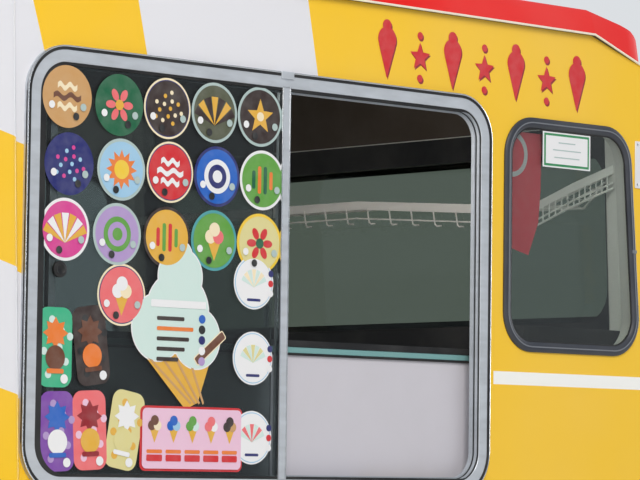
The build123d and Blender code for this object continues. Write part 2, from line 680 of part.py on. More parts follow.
# Rear axle on leaf springs
AXLE_R = 42.0
DIFF_R = 125.0
DRUM_R = 130.0
DRUM_T = 17.0
STUB_END = HALF_TRACK + 60.0
drum_out = HALF_TRACK - 108.0
diff = Pos(REAR_AXLE_X, 0, HUB_Z) * Sphere(DIFF_R)
axle = rod((REAR_AXLE_X, -drum_out + 2, HUB_Z), (REAR_AXLE_X, drum_out - 2, HUB_Z), AXLE_R) + diff
for side in (-1, 1):
    axle += rod((REAR_AXLE_X, side * (drum_out - 22), HUB_Z), (REAR_AXLE_X, side * STUB_END, HUB_Z), STUB_R)
    axle += rod((REAR_AXLE_X, side * (drum_out - DRUM_T), HUB_Z), (REAR_AXLE_X, side * drum_out, HUB_Z), DRUM_R)
DIFF_NOSE_X = REAR_AXLE_X - 190.0
DIFF_NOSE_Z = HUB_Z + 10.0
axle += rod((DIFF_NOSE_X, 0, DIFF_NOSE_Z), (REAR_AXLE_X, 0, DIFF_NOSE_Z), 56)
SPRING_HALF = 600.0
SPRING_W = 60.0
seat_z = HUB_Z + AXLE_R
spring_rear = [
    (100, seat_z - 6), (350, seat_z + 8), (SPRING_HALF, RAIL_Z - 18),
    (SPRING_HALF, RAIL_Z), (350, seat_z + 30), (100, seat_z + 24),
]
spring_outline = spring_rear + [(-x, z) for x, z in reversed(spring_rear)]
for side in (-1, 1):
    y = side * RAIL_Y
    leaf = side_prism([(REAR_AXLE_X + x, z) for x, z in spring_outline], y - SPRING_W / 2, y + SPRING_W / 2)
    axle += leaf
NODES["rear_axle"] = axle

# Front axle beam with yokes, and the knuckles that turn in them
YOKE_IN = 660.0
YOKE_OUT = 790.0
YOKE_T = 25.0
UPRIGHT_H = 113.0
YOKE_GAP = 2.0
beam_half = YOKE_IN + 35
beam = box(FRONT_AXLE_X - 40, FRONT_AXLE_X + 40, -beam_half, beam_half, HUB_Z - BEAM_LOW, HUB_Z + BEAM_TOP)
for side in (-1, 1):
    y0, y1, y2 = (side * YOKE_IN, side * (YOKE_IN + 35), side * YOKE_OUT)
    reach = UPRIGHT_H + YOKE_GAP
    tall = reach + YOKE_T
    beam += box(FRONT_AXLE_X - 40, FRONT_AXLE_X + 40, y0, y1, HUB_Z - tall, HUB_Z + tall)
    for z0 in (HUB_Z + reach, HUB_Z - reach - YOKE_T):
        beam += box(FRONT_AXLE_X - 38, FRONT_AXLE_X + 38, y0, y2, z0, z0 + YOKE_T)
    kp = side * KINGPIN_Y
    beam -= rod((FRONT_AXLE_X, kp, HUB_Z - 200), (FRONT_AXLE_X, kp, HUB_Z + 200), KINGPIN_R + PIN_FIT)
NODES["front_axle"] = beam


def knuckle(side):
    kp = side * KINGPIN_Y
    y0, y1 = side * (KINGPIN_Y - 20), side * (KINGPIN_Y + 20)
    piece = box(FRONT_AXLE_X - 34, FRONT_AXLE_X + 34, y0, y1, HUB_Z - UPRIGHT_H, HUB_Z + UPRIGHT_H)
    pin_half = UPRIGHT_H + YOKE_GAP + YOKE_T
    piece += rod((FRONT_AXLE_X, kp, HUB_Z - pin_half), (FRONT_AXLE_X, kp, HUB_Z + pin_half), KINGPIN_R)
    piece += rod((FRONT_AXLE_X, side * (KINGPIN_Y + 10), HUB_Z), (FRONT_AXLE_X, side * STUB_END, HUB_Z), STUB_R)
    arm_in, arm_out = side * (KINGPIN_Y - 20), side * (KINGPIN_Y - 2)
    arm = box(FRONT_AXLE_X + 30, FRONT_AXLE_X + 150, arm_in, arm_out, HUB_Z - 60, HUB_Z - 35)
    return piece + arm


for name, side in SIDES:
    NODES[f"knuckle_{name}"] = knuckle(side)

# Wheels: pressed rims and tyres; distances are from the wheel's middle plane, outboard positive
half_rim = RIM_W / 2
rim_profile = [
    (STUB_R + RUN_CLEAR, -18), (62, -18), (62, 20), (150, 46), (RIM_R - 20, 30),
    (RIM_R - 20, -half_rim + 20), (RIM_R - RIM_T, -half_rim), (RIM_R + 14, -half_rim),
    (RIM_R + 14, -half_rim + 5), (RIM_R, -half_rim + 5), (RIM_R - 12, -half_rim + 24),
    (RIM_R - 12, half_rim - 40), (RIM_R, half_rim - 5), (RIM_R + 14, half_rim - 5), (RIM_R + 14, half_rim),
    (RIM_R - RIM_T, half_rim), (RIM_R - 20, half_rim - 34), (150, 56), (70, 32), (60, 62), (40, 62), (40, 34),
    (STUB_R + RUN_CLEAR, 34),
]
half_tyre = TYRE_W / 2
tyre_profile = [
    (RIM_R, -half_rim + 5), (RIM_R + 14, -half_rim + 5), (RIM_R + 14, -half_rim - 4),
    (RIM_R + 45, -half_tyre + 3), (RIM_R + 85, -half_tyre), (TYRE_R - 22, -half_tyre + 8),
    (TYRE_R - 6, -half_tyre + 22), (TYRE_R, -half_tyre + 42), (TYRE_R, half_tyre - 42),
    (TYRE_R - 6, half_tyre - 22), (TYRE_R - 22, half_tyre - 8), (RIM_R + 85, half_tyre),
    (RIM_R + 45, half_tyre - 3), (RIM_R + 14, half_rim + 4), (RIM_R + 14, half_rim - 5),
    (RIM_R, half_rim - 5),
]
VENT_COUNT = 8
VENT_R = 17.0
VENT_RING = 118.0
for end, axle_x in (("front", FRONT_AXLE_X), ("rear", REAR_AXLE_X)):
    for name, side in SIDES:
        y = side * HALF_TRACK
        rim = turned(rim_profile, y, axle_x, HUB_Z)
        for i in range(VENT_COUNT):
            a = 2 * math.pi * i / VENT_COUNT
            vx, vz = axle_x + VENT_RING * math.cos(a), HUB_Z + VENT_RING * math.sin(a)
            rim -= rod((vx, y - 90, vz), (vx, y + 90, vz), VENT_R)
        NODES[f"rim_{end}_{name}"] = rim
        NODES[f"tyre_{end}_{name}"] = turned(tyre_profile, y, axle_x, HUB_Z)

# Engine block, and the gearbox and propeller shaft that lead to the rear axle
ENGINE_FRONT_X = NOSE_X + LAMP_DEPTH
ENGINE_TOP_Z = 900.0
NODES["engine_block"] = box(ENGINE_FRONT_X, COWL_X, -rail_in, rail_in, RAIL_Z + 30, ENGINE_TOP_Z)
GEARBOX_TAIL_X = -1330.0
SHAFT_R = 32.0
SHAFT_Z = 425.0
FLANGE_R = 52.0
FLANGE_T = 24.0
# Columns: x, half width, underside, top
GEARBOX = (
    (COWL_X, 190.0, RAIL_Z - 40, FLOOR_Z - 10),
    (COWL_X + 120, 180.0, RAIL_Z - 45, FLOOR_Z - 15),
    (COWL_X + 300, 115.0, RAIL_Z - 35, FLOOR_Z - 45),
    (GEARBOX_TAIL_X, 70.0, SHAFT_Z - 60, SHAFT_Z + 60),
)
gearbox_ends = []
for x, half, low, high in GEARBOX:
    ring = [(x, -half, low), (x, half, low), (x, half, high), (x, -half, high)]
    gearbox_ends.append(make_face(Polyline(*ring, close=True)))
driveline = loft(gearbox_ends, ruled=True)
driveline += rod((GEARBOX_TAIL_X, 0, SHAFT_Z), (DIFF_NOSE_X - FLANGE_T, 0, DIFF_NOSE_Z), SHAFT_R)
for x, z in ((GEARBOX_TAIL_X, SHAFT_Z), (DIFF_NOSE_X - FLANGE_T, DIFF_NOSE_Z)):
    driveline += rod((x, 0, z), (x + FLANGE_T, 0, z), FLANGE_R)
NODES["driveline"] = driveline

# Tank and exhaust hung from the chassis
TANK_IN = 85.0
TANK_LOW_Z = 330.0
TANK_FRONT_X = -900.0
TANK_REAR_X = -340.0
rail_out = RAIL_Y + RAIL_W / 2
tank = box(TANK_FRONT_X, TANK_REAR_X, rail_out + 10, CAB_HALF_W - TANK_IN, TANK_LOW_Z, RAIL_TOP)
tank_foot_x = TANK_FRONT_X + 200
tank_foot = box(tank_foot_x - 20, tank_foot_x + 20, rail_out, rail_out + 12, RAIL_Z + 20, RAIL_TOP - 20)
NODES["fuel_tank"] = fillet(tank.edges().filter_by(Axis.X), 40) + tank_foot
PIPE_FRONT_X = FRONT_AXLE_X + 150.0
PIPE_REAR_X = REAR_AXLE_X - 420.0
SILENCER_X = -150.0
SILENCER_L = 570.0
SILENCER_R = 75.0
silencer_z = PIPE_Z - 35
pipe = rod((PIPE_FRONT_X, PIPE_Y, PIPE_Z), (PIPE_REAR_X, PIPE_Y, PIPE_Z), PIPE_R)
pipe += rod((SILENCER_X, PIPE_Y, silencer_z), (SILENCER_X + SILENCER_L, PIPE_Y, silencer_z), SILENCER_R)
for x, reach in CROSSMEMBERS[1:5]:
    pipe += box(x - 10, x + 10, PIPE_Y - 10, PIPE_Y + 10, PIPE_Z, RAIL_Z + 30)
bore = rod((PIPE_REAR_X - 280, PIPE_Y, PIPE_Z), (PIPE_REAR_X + 20, PIPE_Y, PIPE_Z), PIPE_R - 3)
NODES["exhaust"] = pipe - bore

# Rear bumper on two stays, rear lamps
REAR_BUMPER_TOP = 470.0
REAR_BUMPER_LOW = 345.0
REAR_BUMPER_END = 2080.0
REAR_BUMPER_R = 70.0
bumper_half = HALF_W - 12.0
bar = box(REAR_BUMPER_END, REAR_BUMPER_X, -bumper_half, bumper_half, REAR_BUMPER_LOW, REAR_BUMPER_TOP)
outer_corners = bar.edges().filter_by(Axis.Z).filter_by(lambda e: e.center().X > REAR_BUMPER_END + 10)
bar = fillet(outer_corners, REAR_BUMPER_R)
t = REAR_BUMPER_T
inside = box(REAR_BUMPER_END - 1, REAR_BUMPER_X - t, -bumper_half + t, bumper_half - t, 0, 1000)
inner_corners = inside.edges().filter_by(Axis.Z).filter_by(lambda e: e.center().X > REAR_BUMPER_END + 10)
inside = fillet(inner_corners, REAR_BUMPER_R - t)
rear_bumper = bar - inside
for side in (-1, 1):
    y = side * RAIL_Y
    rear_bumper += box(RAIL_REAR_X - 90, REAR_BUMPER_X - t, y - 25, y + 25, REAR_BUMPER_LOW + 25, RAIL_Z)
NODES["rear_bumper"] = rear_bumper
lamp_low, lamp_high = 980.0, 1240.0
lamp_face = Rectangle(90, (lamp_high - lamp_low) * REAR_UP)
lamp_place = REAR_PLANE * Pos(-HALF_W + CORNER_R + 62, (lamp_high + lamp_low) / 2 * REAR_UP, 0)
rear_lamp = lamp_place * extrude(lamp_face, 28)
NODES["rear_lamps"] = solids(rear_lamp, mirrored(rear_lamp))

# Fixed glass and its seals
NODES["fixed_glass"] = solids(
    quarter[1], mirrored(quarter[1]), mirrored(off_window[1]), rear_window[1], screen[1]
)
NODES["window_seals"] = solids(
    quarter[2], mirrored(quarter[2]), mirrored(off_window[2]), rear_window[2], screen[2]
)

# Hatch frame: aluminium band round the hole, with a middle post and two pane tracks
frame_ring = extrude(hatch_outline(0) - hatch_outline(FRAME_BAND), FRAME_PROUD)
frame_neck = extrude(hatch_outline(FRAME_LIP + GLASS_CLEAR) - hatch_outline(FRAME_BAND), FRAME_GRIP)
post = box(HATCH_X + POST_X, HATCH_X + POST_X + POST_W, -HALF_W - FRAME_PROUD, -HALF_W + FRAME_GRIP,
           HATCH_BOTTOM_Z + FRAME_BAND - 2, HATCH_TOP_Z - FRAME_BAND + 2)
NODES["hatch_frame"] = NEAR_PLANE * (frame_ring + Pos(0, 0, -FRAME_GRIP) * frame_neck) + post
fixed_pane = extrude(hatch_outline(FRAME_BAND + GLASS_CLEAR), PANE_T)
fixed_pane = NEAR_PLANE * fixed_pane
pane_x = HATCH_X + POST_X
fixed_pane = fixed_pane & box(HATCH_X, pane_x - GLASS_CLEAR, -FAR_Y, -HALF_W + 100, 0, FAR_Z)
slide_pane = NEAR_PLANE * Pos(0, 0, -SLIDE_SET) * extrude(hatch_outline(FRAME_BAND + GLASS_CLEAR), PANE_T)
slide_pane = slide_pane & box(HATCH_X, pane_x - 30, -FAR_Y, -HALF_W + 100, 0, FAR_Z)
NODES["hatch_glass"] = solids(fixed_pane, slide_pane)

# Mirrors ride on the doors
MIRROR_X = HINGE_X + 71.0
MIRROR_IN = 70.0
MIRROR_W = 180.0
MIRROR_LOW_Z = 1270.0
MIRROR_TOP_Z = 1560.0
head_y = CAB_HALF_W + MIRROR_IN
mirror_head = box(MIRROR_X - 45, MIRROR_X + 45, -head_y - MIRROR_W, -head_y, MIRROR_LOW_Z, MIRROR_TOP_Z)
mirror_head = fillet(mirror_head.edges(), 18)
mirror_arm = rod((MIRROR_X, -head_y - 55, MIRROR_LOW_Z + 30), (MIRROR_X, -CAB_HALF_W - 20, BELT_Z - 35), 14)
mirror_foot = box(MIRROR_X - 35, MIRROR_X + 35, -CAB_HALF_W - 28, -CAB_HALF_W, BELT_Z - 70, BELT_Z - 5)
near_mirror = mirror_head + mirror_arm + mirror_foot
NODES["mirror_near"] = near_mirror
NODES["mirror_off"] = mirrored(near_mirror)

# Inside: dashboard, steering wheel, seats
dash_x = FIREWALL_X + FIREWALL_T
dash = side_prism(
    [
        (dash_x, 800),
        (dash_x, COWL_Z - 15),
        (dash_x + 185, COWL_Z + 5),
        (dash_x + 345, COWL_Z - 35),
        (dash_x + 365, 960),
        (dash_x + 245, 820),
    ],
    -CAB_HALF_W + 105,
    CAB_HALF_W - 105,
)
NODES["dashboard"] = dash & cab_room
WHEEL_Y = 430.0
wheel_at = (-1400.0, WHEEL_Y, 1240.0)
wheel_axis = Vector(0.80, 0, 0.60)
wheel_plane = Plane(origin=wheel_at, z_dir=wheel_axis)
steering = wheel_plane * Torus(190, 14)
for a in (90, 210, 330):
    steering += wheel_plane * Rot(0, 0, a) * Pos(100, 0, 0) * Box(190, 26, 10)
steering += wheel_plane * Pos(0, 0, -10) * Cylinder(45, 30)
column_end = Vector(*wheel_at) - wheel_axis * 255
steering += rod(tuple(column_end), wheel_at, 22)
NODES["steering_wheel"] = steering - NODES["dashboard"]

SEAT_X = -900.0
SEAT_W = 480.0


def seat(y):
    base = box(SEAT_X, SEAT_X + 440, y - 200, y + 200, FLOOR_TOP, FLOOR_TOP + 240)
    cushion = box(SEAT_X - 40, SEAT_X + 460, y - SEAT_W / 2, y + SEAT_W / 2, FLOOR_TOP + 240, FLOOR_TOP + 380)
    cushion = fillet(cushion.edges(), 35)
    back_half = SEAT_W / 2 - 10
    back = box(SEAT_X + 400, SEAT_X + 520, y - back_half, y + back_half, FLOOR_TOP + 300, FLOOR_TOP + 960)
    back = fillet(back.edges(), 35)
    head = box(SEAT_X + 415, SEAT_X + 515, y - 130, y + 130, FLOOR_TOP + 990, FLOOR_TOP + 1160)
    head = fillet(head.edges(), 30)
    whole = base + cushion + back + head
    for y_post in (y - 60, y + 60):
        whole += rod((SEAT_X + 465, y_post, FLOOR_TOP + 930), (SEAT_X + 465, y_post, FLOOR_TOP + 1010), 7)
    return whole


NODES["seats"] = solids(seat(-WHEEL_Y), seat(WHEEL_Y))

# Inside the vending body: counter, machine, cabinets and the wire shelf
box_lid = BOX_TOP + BOX_T
counter_under = COUNTER_Z - COUNTER_T
case_y = -IN_Y + COUNTER_D - 30
counter_end = HATCH_X + HATCH_W - FRAME_LIP
counter_top = box(HATCH_X + FRAME_LIP, counter_end, -IN_Y, -IN_Y + COUNTER_D, counter_under, COUNTER_Z)
counter_case = box(HATCH_X + 40, counter_end, -IN_Y, case_y, box_lid, counter_under)
counter_case += box(HATCH_X + 40, REAR_AXLE_X - ARCH_R - 10 - BOX_T, -IN_Y, case_y, FLOOR_TOP, counter_under)
NODES["serving_counter"] = counter_top + counter_case
MACHINE_X = -40.0
MACHINE_L = 460.0
MACHINE_W = 600.0
MACHINE_TOP = 1720.0
machine_y = IN_Y - 105
machine = box(MACHINE_X, MACHINE_X + MACHINE_L, machine_y - MACHINE_W, machine_y, FLOOR_TOP, MACHINE_TOP)
machine = fillet(machine.edges().filter_by(Axis.Z), 25)
dispenser = box(MACHINE_X - 90, MACHINE_X + 1, machine_y - MACHINE_W + 80, machine_y - 80, 1240, 1500)
NODES["ice_machine"] = machine + dispenser
CABINET_TOP = 1480.0
CABINET_D = 435.0
CASE_TOP = 1600.0
CASE_X = REAR_AXLE_X + 500.0
CASE_LAP = 80.0
cabinet_y = IN_Y - CABINET_D
cabinet = box(HATCH_X + 60, CASE_X + CASE_LAP, cabinet_y, IN_Y, box_lid, CABINET_TOP)
rear_in = rear_x(CASE_TOP) - WALL * REAR_UP
rear_case = box(CASE_X, rear_in, -IN_Y, IN_Y, box_lid, CASE_TOP)
rear_case -= box(CASE_X - 1, CASE_X + CASE_LAP, cabinet_y + 1, FAR_Y, CABINET_TOP - 20, FAR_Z)
rear_plinth = box(CASE_X - 60, rear_in, 0, BOX_IN_Y - 90, FLOOR_TOP, box_lid)
cabinet_plinth = box(HATCH_X + 60, REAR_AXLE_X - ARCH_R - 30, cabinet_y + 40, IN_Y, FLOOR_TOP, box_lid)
NODES["storage_cabinets"] = cabinet + rear_case + rear_plinth + cabinet_plinth
SHELF_Z = 1956.0
SHELF_DEPTH = 266.0
SHELF_RAIL_H = 23.0
SHELF_LIFT = 60.0
SHELF_LIFT_Y = -620.0
SHELF_END_T = 12.0
SHELF_END_UP = 20.0
SHELF_WIRE = 4.0
SHELF_FRONT_X = REAR_X - SHELF_DEPTH
shelf_back = rear_x(SHELF_Z + SHELF_LIFT + SHELF_END_UP) - WALL * REAR_UP
shelf_y = IN_Y - SHELF_END_T
shelf_rows = [
    (-shelf_y, SHELF_Z + SHELF_LIFT),
    (SHELF_LIFT_Y, SHELF_Z),
    (shelf_y, SHELF_Z),
]
shelf_plane = Plane(origin=(SHELF_FRONT_X, 0, 0), x_dir=(0, 1, 0), z_dir=(1, 0, 0))
wire_shelf = Part()
for reach, low in ((shelf_back - SHELF_FRONT_X, 0), (SHELF_WIRE * 1.5, SHELF_WIRE * 2 - SHELF_RAIL_H)):
    shelf_line = [(y, z + low) for y, z in shelf_rows]
    shelf_line += [(y, z + SHELF_WIRE * 2) for y, z in reversed(shelf_rows)]
    wire_shelf += extrude(shelf_plane * make_face(Polyline(*shelf_line, close=True)), amount=reach)
for y, z in ((-IN_Y, SHELF_Z + SHELF_LIFT), (shelf_y, SHELF_Z)):
    wire_shelf += box(SHELF_FRONT_X, shelf_back, y, y + SHELF_END_T, z - SHELF_END_UP, z + SHELF_END_UP)
NODES["wire_shelf"] = wire_shelf

# Moulded cone on the roof, over the cab
CONE_X = -560.0
CONE_CLEAR = 10.0
cone_foot = GUTTER_Z + 118.0
CONE_H = 250.0
cone_rows = [
    (0, 0), (95, 0), (95, 25), (62, 60), (115, CONE_H), (150, CONE_H + 20), (158, CONE_H + 60),
    (120, CONE_H + 110), (128, CONE_H + 130), (85, CONE_H + 185), (90, CONE_H + 200), (40, CONE_H + 260),
    (0, CONE_H + 320),
]
cone_face = make_face(Polyline(*[(r, 0, z) for r, z in cone_rows], close=True))
cone = Pos(CONE_X, 0, cone_foot - CONE_CLEAR) * revolve(cone_face, Axis.Z)
NODES["roof_cone"] = cone - crown_loft(0)

os.makedirs("parts", exist_ok=True)
for node, shape in NODES.items():
    export_step(shape, f"parts/{node}.step")
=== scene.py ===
import math

import bmesh
import bpy
from mathutils import Matrix, Vector
from mathutils.bvhtree import BVHTree


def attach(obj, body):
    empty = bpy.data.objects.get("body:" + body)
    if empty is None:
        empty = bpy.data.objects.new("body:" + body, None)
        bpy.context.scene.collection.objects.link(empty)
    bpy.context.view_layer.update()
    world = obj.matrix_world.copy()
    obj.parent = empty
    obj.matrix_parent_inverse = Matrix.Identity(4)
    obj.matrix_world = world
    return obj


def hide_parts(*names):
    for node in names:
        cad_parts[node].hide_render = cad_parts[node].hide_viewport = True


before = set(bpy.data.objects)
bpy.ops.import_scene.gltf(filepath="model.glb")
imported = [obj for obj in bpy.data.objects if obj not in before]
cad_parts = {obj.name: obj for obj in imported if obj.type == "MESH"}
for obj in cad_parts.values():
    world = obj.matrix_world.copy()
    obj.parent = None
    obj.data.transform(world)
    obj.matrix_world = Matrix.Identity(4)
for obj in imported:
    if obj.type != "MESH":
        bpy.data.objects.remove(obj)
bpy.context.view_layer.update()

# Places on the vehicle, in metres, repeated from the CAD
SIDE_Y = 1.000
PANEL_Y = 1.030
HATCH_X = 0.520
HATCH_W = 1.400
HATCH_LOW = 1.225
HATCH_TOP = 2.171
HATCH_R = 0.105
POST_X = 0.728
POST_W = 0.023
GLASS_FACE = 0.0062
GUTTER_Z = 2.357
GUTTER_DROP_X = 2.267
GUTTER_DROP = 0.325
REAR_X = 2.556
REAR_REF_Z = 1.100
REAR_RAKE = 0.050
WINDOW_RAKE = 0.0804
FRONT_AXLE_X = -1.650
REAR_AXLE_X = 1.600
HUB_Z = 0.340
HALF_TRACK = 0.870
TYRE_R = 0.340
TYRE_W = 0.195
RIM_R = 0.190
RIM_W = 0.152
COWL = (-1.990, 1.165)
HEADER = (-1.400, 2.045)
CAB_HALF_W = 0.985
BELT_Z = 1.180
FLOOR_TOP = 0.640
COUNTER_Z = 1.561
WHEEL_Y = 0.430
MIDDLE = (0.0, 0.0, 1.25)


def rear_x(z):
    return REAR_X - (z - REAR_REF_Z) * REAR_RAKE


def srgb(r, g, b):
    """A colour given as 0 to 255 screen values, as the linear colour a shader wants."""
    linear = []
    for value in (r, g, b):
        c = value / 255
        linear.append(c / 12.92 if c <= 0.04045 else ((c + 0.055) / 1.055) ** 2.4)
    return (*linear, 1.0)


# Shader building


def put(tree, socket, value):
    if isinstance(value, bpy.types.NodeSocket):
        tree.links.new(value, socket)
    else:
        socket.default_value = value


def add(tree, kind, inputs=(), **settings):
    """Adds a node; inputs is a dict by socket name or a list by place."""
    made = tree.nodes.new(kind)
    for key, value in settings.items():
        setattr(made, key, value)
    pairs = inputs.items() if isinstance(inputs, dict) else enumerate(inputs)
    for key, value in pairs:
        if value is not None:
            put(tree, made.inputs[key], value)
    return made


def maths(tree, operation, *values):
    return add(tree, "ShaderNodeMath", values, operation=operation).outputs[0]


def mixed(tree, factor, first, second):
    """Colour that goes from first to second as factor goes from 0 to 1."""
    made = add(tree, "ShaderNodeMix", data_type="RGBA")
    put(tree, made.inputs[0], factor)
    put(tree, made.inputs[6], first)
    put(tree, made.inputs[7], second)
    return made.outputs[2]


def ramp(tree, value, low, high, to_low=0.0, to_high=1.0):
    return add(tree, "ShaderNodeMapRange", [value, low, high, to_low, to_high]).outputs[0]


def noise(tree, vector, scale, detail=3.0, roughness=0.5):
    inputs = {"Vector": vector, "Scale": scale, "Detail": detail, "Roughness": roughness}
    return add(tree, "ShaderNodeTexNoise", inputs).outputs["Fac"]


def place_of(tree):
    """Position on the vehicle at rest, whatever the pose."""
    return add(tree, "ShaderNodeTexCoord").outputs["Object"]


FLOAT, COLOUR, VECTOR = "NodeSocketFloat", "NodeSocketColor", "NodeSocketVector"


def new_group(name, inputs, outputs):
    tree = bpy.data.node_groups.new(name, "ShaderNodeTree")
    for label, kind, value in inputs:
        socket = tree.interface.new_socket(name=label, in_out="INPUT", socket_type=kind)
        socket.default_value = value
    for label, kind in outputs:
        tree.interface.new_socket(name=label, in_out="OUTPUT", socket_type=kind)
    return tree, tree.nodes.new("NodeGroupInput").outputs, tree.nodes.new("NodeGroupOutput").inputs


FINISH_OUT = [("Colour", COLOUR), ("Roughness", FLOAT), ("Normal", VECTOR)]


def relief(tree, height, strength, distance):
    """Normal of a surface that a height pushes in and out."""
    bump = add(tree, "ShaderNodeBump", {"Strength": strength, "Distance": distance, "Height": height})
    return bump.outputs[0]


def use(tree, group, values):
    """Places a group in a tree with its own values and gives its outputs."""
    made = tree.nodes.new("ShaderNodeGroup")
    made.node_tree = group
    for label, value in values.items():
        put(tree, made.inputs[label], value)
    return made.outputs


def road_dust_group():
    """Mask of road dust that thins out upwards from the wheels."""
    tree, given, out = new_group(
        "road dust", [("Amount", FLOAT, 0.5), ("Reach", FLOAT, 0.7)], [("Mask", FLOAT)]
    )
    place = place_of(tree)
    height = add(tree, "ShaderNodeSeparateXYZ", [place]).outputs["Z"]
    low = ramp(tree, maths(tree, "DIVIDE", height, given["Reach"]), 0.3, 1.5, 1.0, 0.0)
    patches = ramp(tree, noise(tree, place, 3.0, 6.0, 0.65), 0.35, 0.75, 0.25, 1.0)
    put(tree, out["Mask"], maths(tree, "MULTIPLY", maths(tree, "MULTIPLY", low, patches), given["Amount"]))
    return tree


DUST = road_dust_group()
DUST_COLOUR = srgb(150, 138, 120)


def paint_group():
    """Coach paint: slight ripple, a little fading, fine dust near the road."""
    tree, given, out = new_group(
        "coach paint", [("Colour", COLOUR, (1, 1, 1, 1)), ("Gloss", FLOAT, 0.25), ("Dust", FLOAT, 0.4)],
        FINISH_OUT
    )
    place = place_of(tree)
    fade = ramp(tree, noise(tree, place, 1.6, 4.0), 0.3, 0.7, 0.0, 0.08)
    faded = mixed(tree, fade, given["Colour"], (0.75, 0.73, 0.68, 1))
    dust = use(tree, DUST, {"Amount": given["Dust"]})["Mask"]
    put(tree, out["Colour"], mixed(tree, dust, faded, DUST_COLOUR))
    haze = maths(tree, "MULTIPLY", noise(tree, place, 9.0, 5.0), 0.08)
    rough = maths(tree, "ADD", maths(tree, "ADD", given["Gloss"], haze), maths(tree, "MULTIPLY", dust, 0.5))
    put(tree, out["Roughness"], rough)
    fine = maths(tree, "MULTIPLY", noise(tree, place, 60.0, 1.0), 0.08)
    ripple = maths(tree, "ADD", noise(tree, place, 4.0, 2.0), fine)
    put(tree, out["Normal"], relief(tree, ripple, 0.12, 0.01))
    return tree


def metal_group():
    """Metal drawn or brushed along one direction, with faint stains."""
    tree, given, out = new_group(
        "drawn metal",
        [
            ("Colour", COLOUR, (1, 1, 1, 1)), ("Roughness", FLOAT, 0.3), ("Grain", VECTOR, (1, 1, 4)),
            ("Wear", FLOAT, 0.3),
        ],
        FINISH_OUT,
    )
    place = place_of(tree)
    along = add(tree, "ShaderNodeVectorMath", [place, given["Grain"]], operation="MULTIPLY").outputs[0]
    streak = noise(tree, along, 12.0, 4.0)
    stain = ramp(tree, noise(tree, place, 7.0, 6.0, 0.7), 0.45, 0.75, 0.0, 1.0)
    dull = maths(tree, "MULTIPLY", stain, given["Wear"])
    toned = mixed(tree, ramp(tree, streak, 0.3, 0.7, 0.0, 0.25), given["Colour"], (0.2, 0.21, 0.22, 1))
    put(tree, out["Colour"], mixed(tree, dull, toned, (0.16, 0.15, 0.14, 1)))
    rough = maths(tree, "ADD", given["Roughness"], maths(tree, "MULTIPLY", streak, 0.15))
    put(tree, out["Roughness"], maths(tree, "ADD", rough, maths(tree, "MULTIPLY", dull, 0.3)))
    put(tree, out["Normal"], relief(tree, streak, 0.15, 0.001))
    return tree


def grain_group():
    """Moulded plastic or rubber with a fine grain, greyed a little by sun and dust."""
    sockets = [
        ("Colour", COLOUR, (0, 0, 0, 1)), ("Roughness", FLOAT, 0.5), ("Scale", FLOAT, 300.0),
        ("Depth", FLOAT, 0.3), ("Dust", FLOAT, 0.4),
    ]
    tree, given, out = new_group("moulded grain", sockets, FINISH_OUT)
    place = place_of(tree)
    pits = noise(tree, place, given["Scale"], 2.0)
    bloom = ramp(tree, noise(tree, place, 5.0, 5.0, 0.6), 0.4, 0.8, 0.0, 0.12)
    greyed = mixed(tree, bloom, given["Colour"], (0.35, 0.34, 0.33, 1))
    dust = use(tree, DUST, {"Amount": given["Dust"]})["Mask"]
    put(tree, out["Colour"], mixed(tree, dust, greyed, DUST_COLOUR))
    put(tree, out["Roughness"], maths(tree, "ADD", given["Roughness"], maths(tree, "MULTIPLY", bloom, 1.5)))
    put(tree, out["Normal"], relief(tree, pits, given["Depth"], 0.0006))
    return tree


def print_group():
    """Printed vinyl: even colour with faint banding and scuffs."""
    tree, given, out = new_group(
        "printed vinyl", [("Colour", COLOUR, (1, 1, 1, 1)), ("Age", FLOAT, 0.3)], FINISH_OUT
    )
    place = place_of(tree)
    mottle = noise(tree, place, 40.0, 3.0)
    pale = maths(tree, "MULTIPLY", ramp(tree, mottle, 0.3, 0.8, 0.0, 0.25), given["Age"])
    put(tree, out["Colour"], mixed(tree, pale, given["Colour"], (0.85, 0.85, 0.82, 1)))
    scuff = ramp(tree, noise(tree, place, 120.0, 4.0, 0.7), 0.5, 0.7, 0.0, 0.3)
    put(tree, out["Roughness"], maths(tree, "ADD", maths(tree, "MULTIPLY", scuff, given["Age"]), 0.28))
    put(tree, out["Normal"], relief(tree, mottle, 0.08, 0.001))
    return tree


def weave_group():
    """Woven cloth in two yarns."""
    tree, given, out = new_group(
        "woven cloth",
        [
            ("Warp", COLOUR, (0.1, 0.1, 0.12, 1)), ("Weft", COLOUR, (0.2, 0.2, 0.22, 1)),
            ("Scale", FLOAT, 300.0),
        ],
        FINISH_OUT,
    )
    place = place_of(tree)
    yarn = {"Vector": place, "Scale": given["Scale"], "Distortion": 0.6}
    first = add(tree, "ShaderNodeTexWave", yarn, bands_direction="Y").outputs["Fac"]
    second = add(tree, "ShaderNodeTexWave", yarn, bands_direction="DIAGONAL").outputs["Fac"]
    over = maths(tree, "GREATER_THAN", first, second)
    fleck = mixed(tree, over, given["Warp"], given["Weft"])
    worn = ramp(tree, noise(tree, place, 8.0, 4.0), 0.4, 0.8, 0.0, 0.3)
    put(tree, out["Colour"], mixed(tree, worn, fleck, (0.3, 0.29, 0.27, 1)))
    put(tree, out["Roughness"], ramp(tree, worn, 0.0, 0.3, 0.95, 0.8))
    put(tree, out["Normal"], relief(tree, maths(tree, "ADD", first, second), 0.5, 0.0008))
    return tree


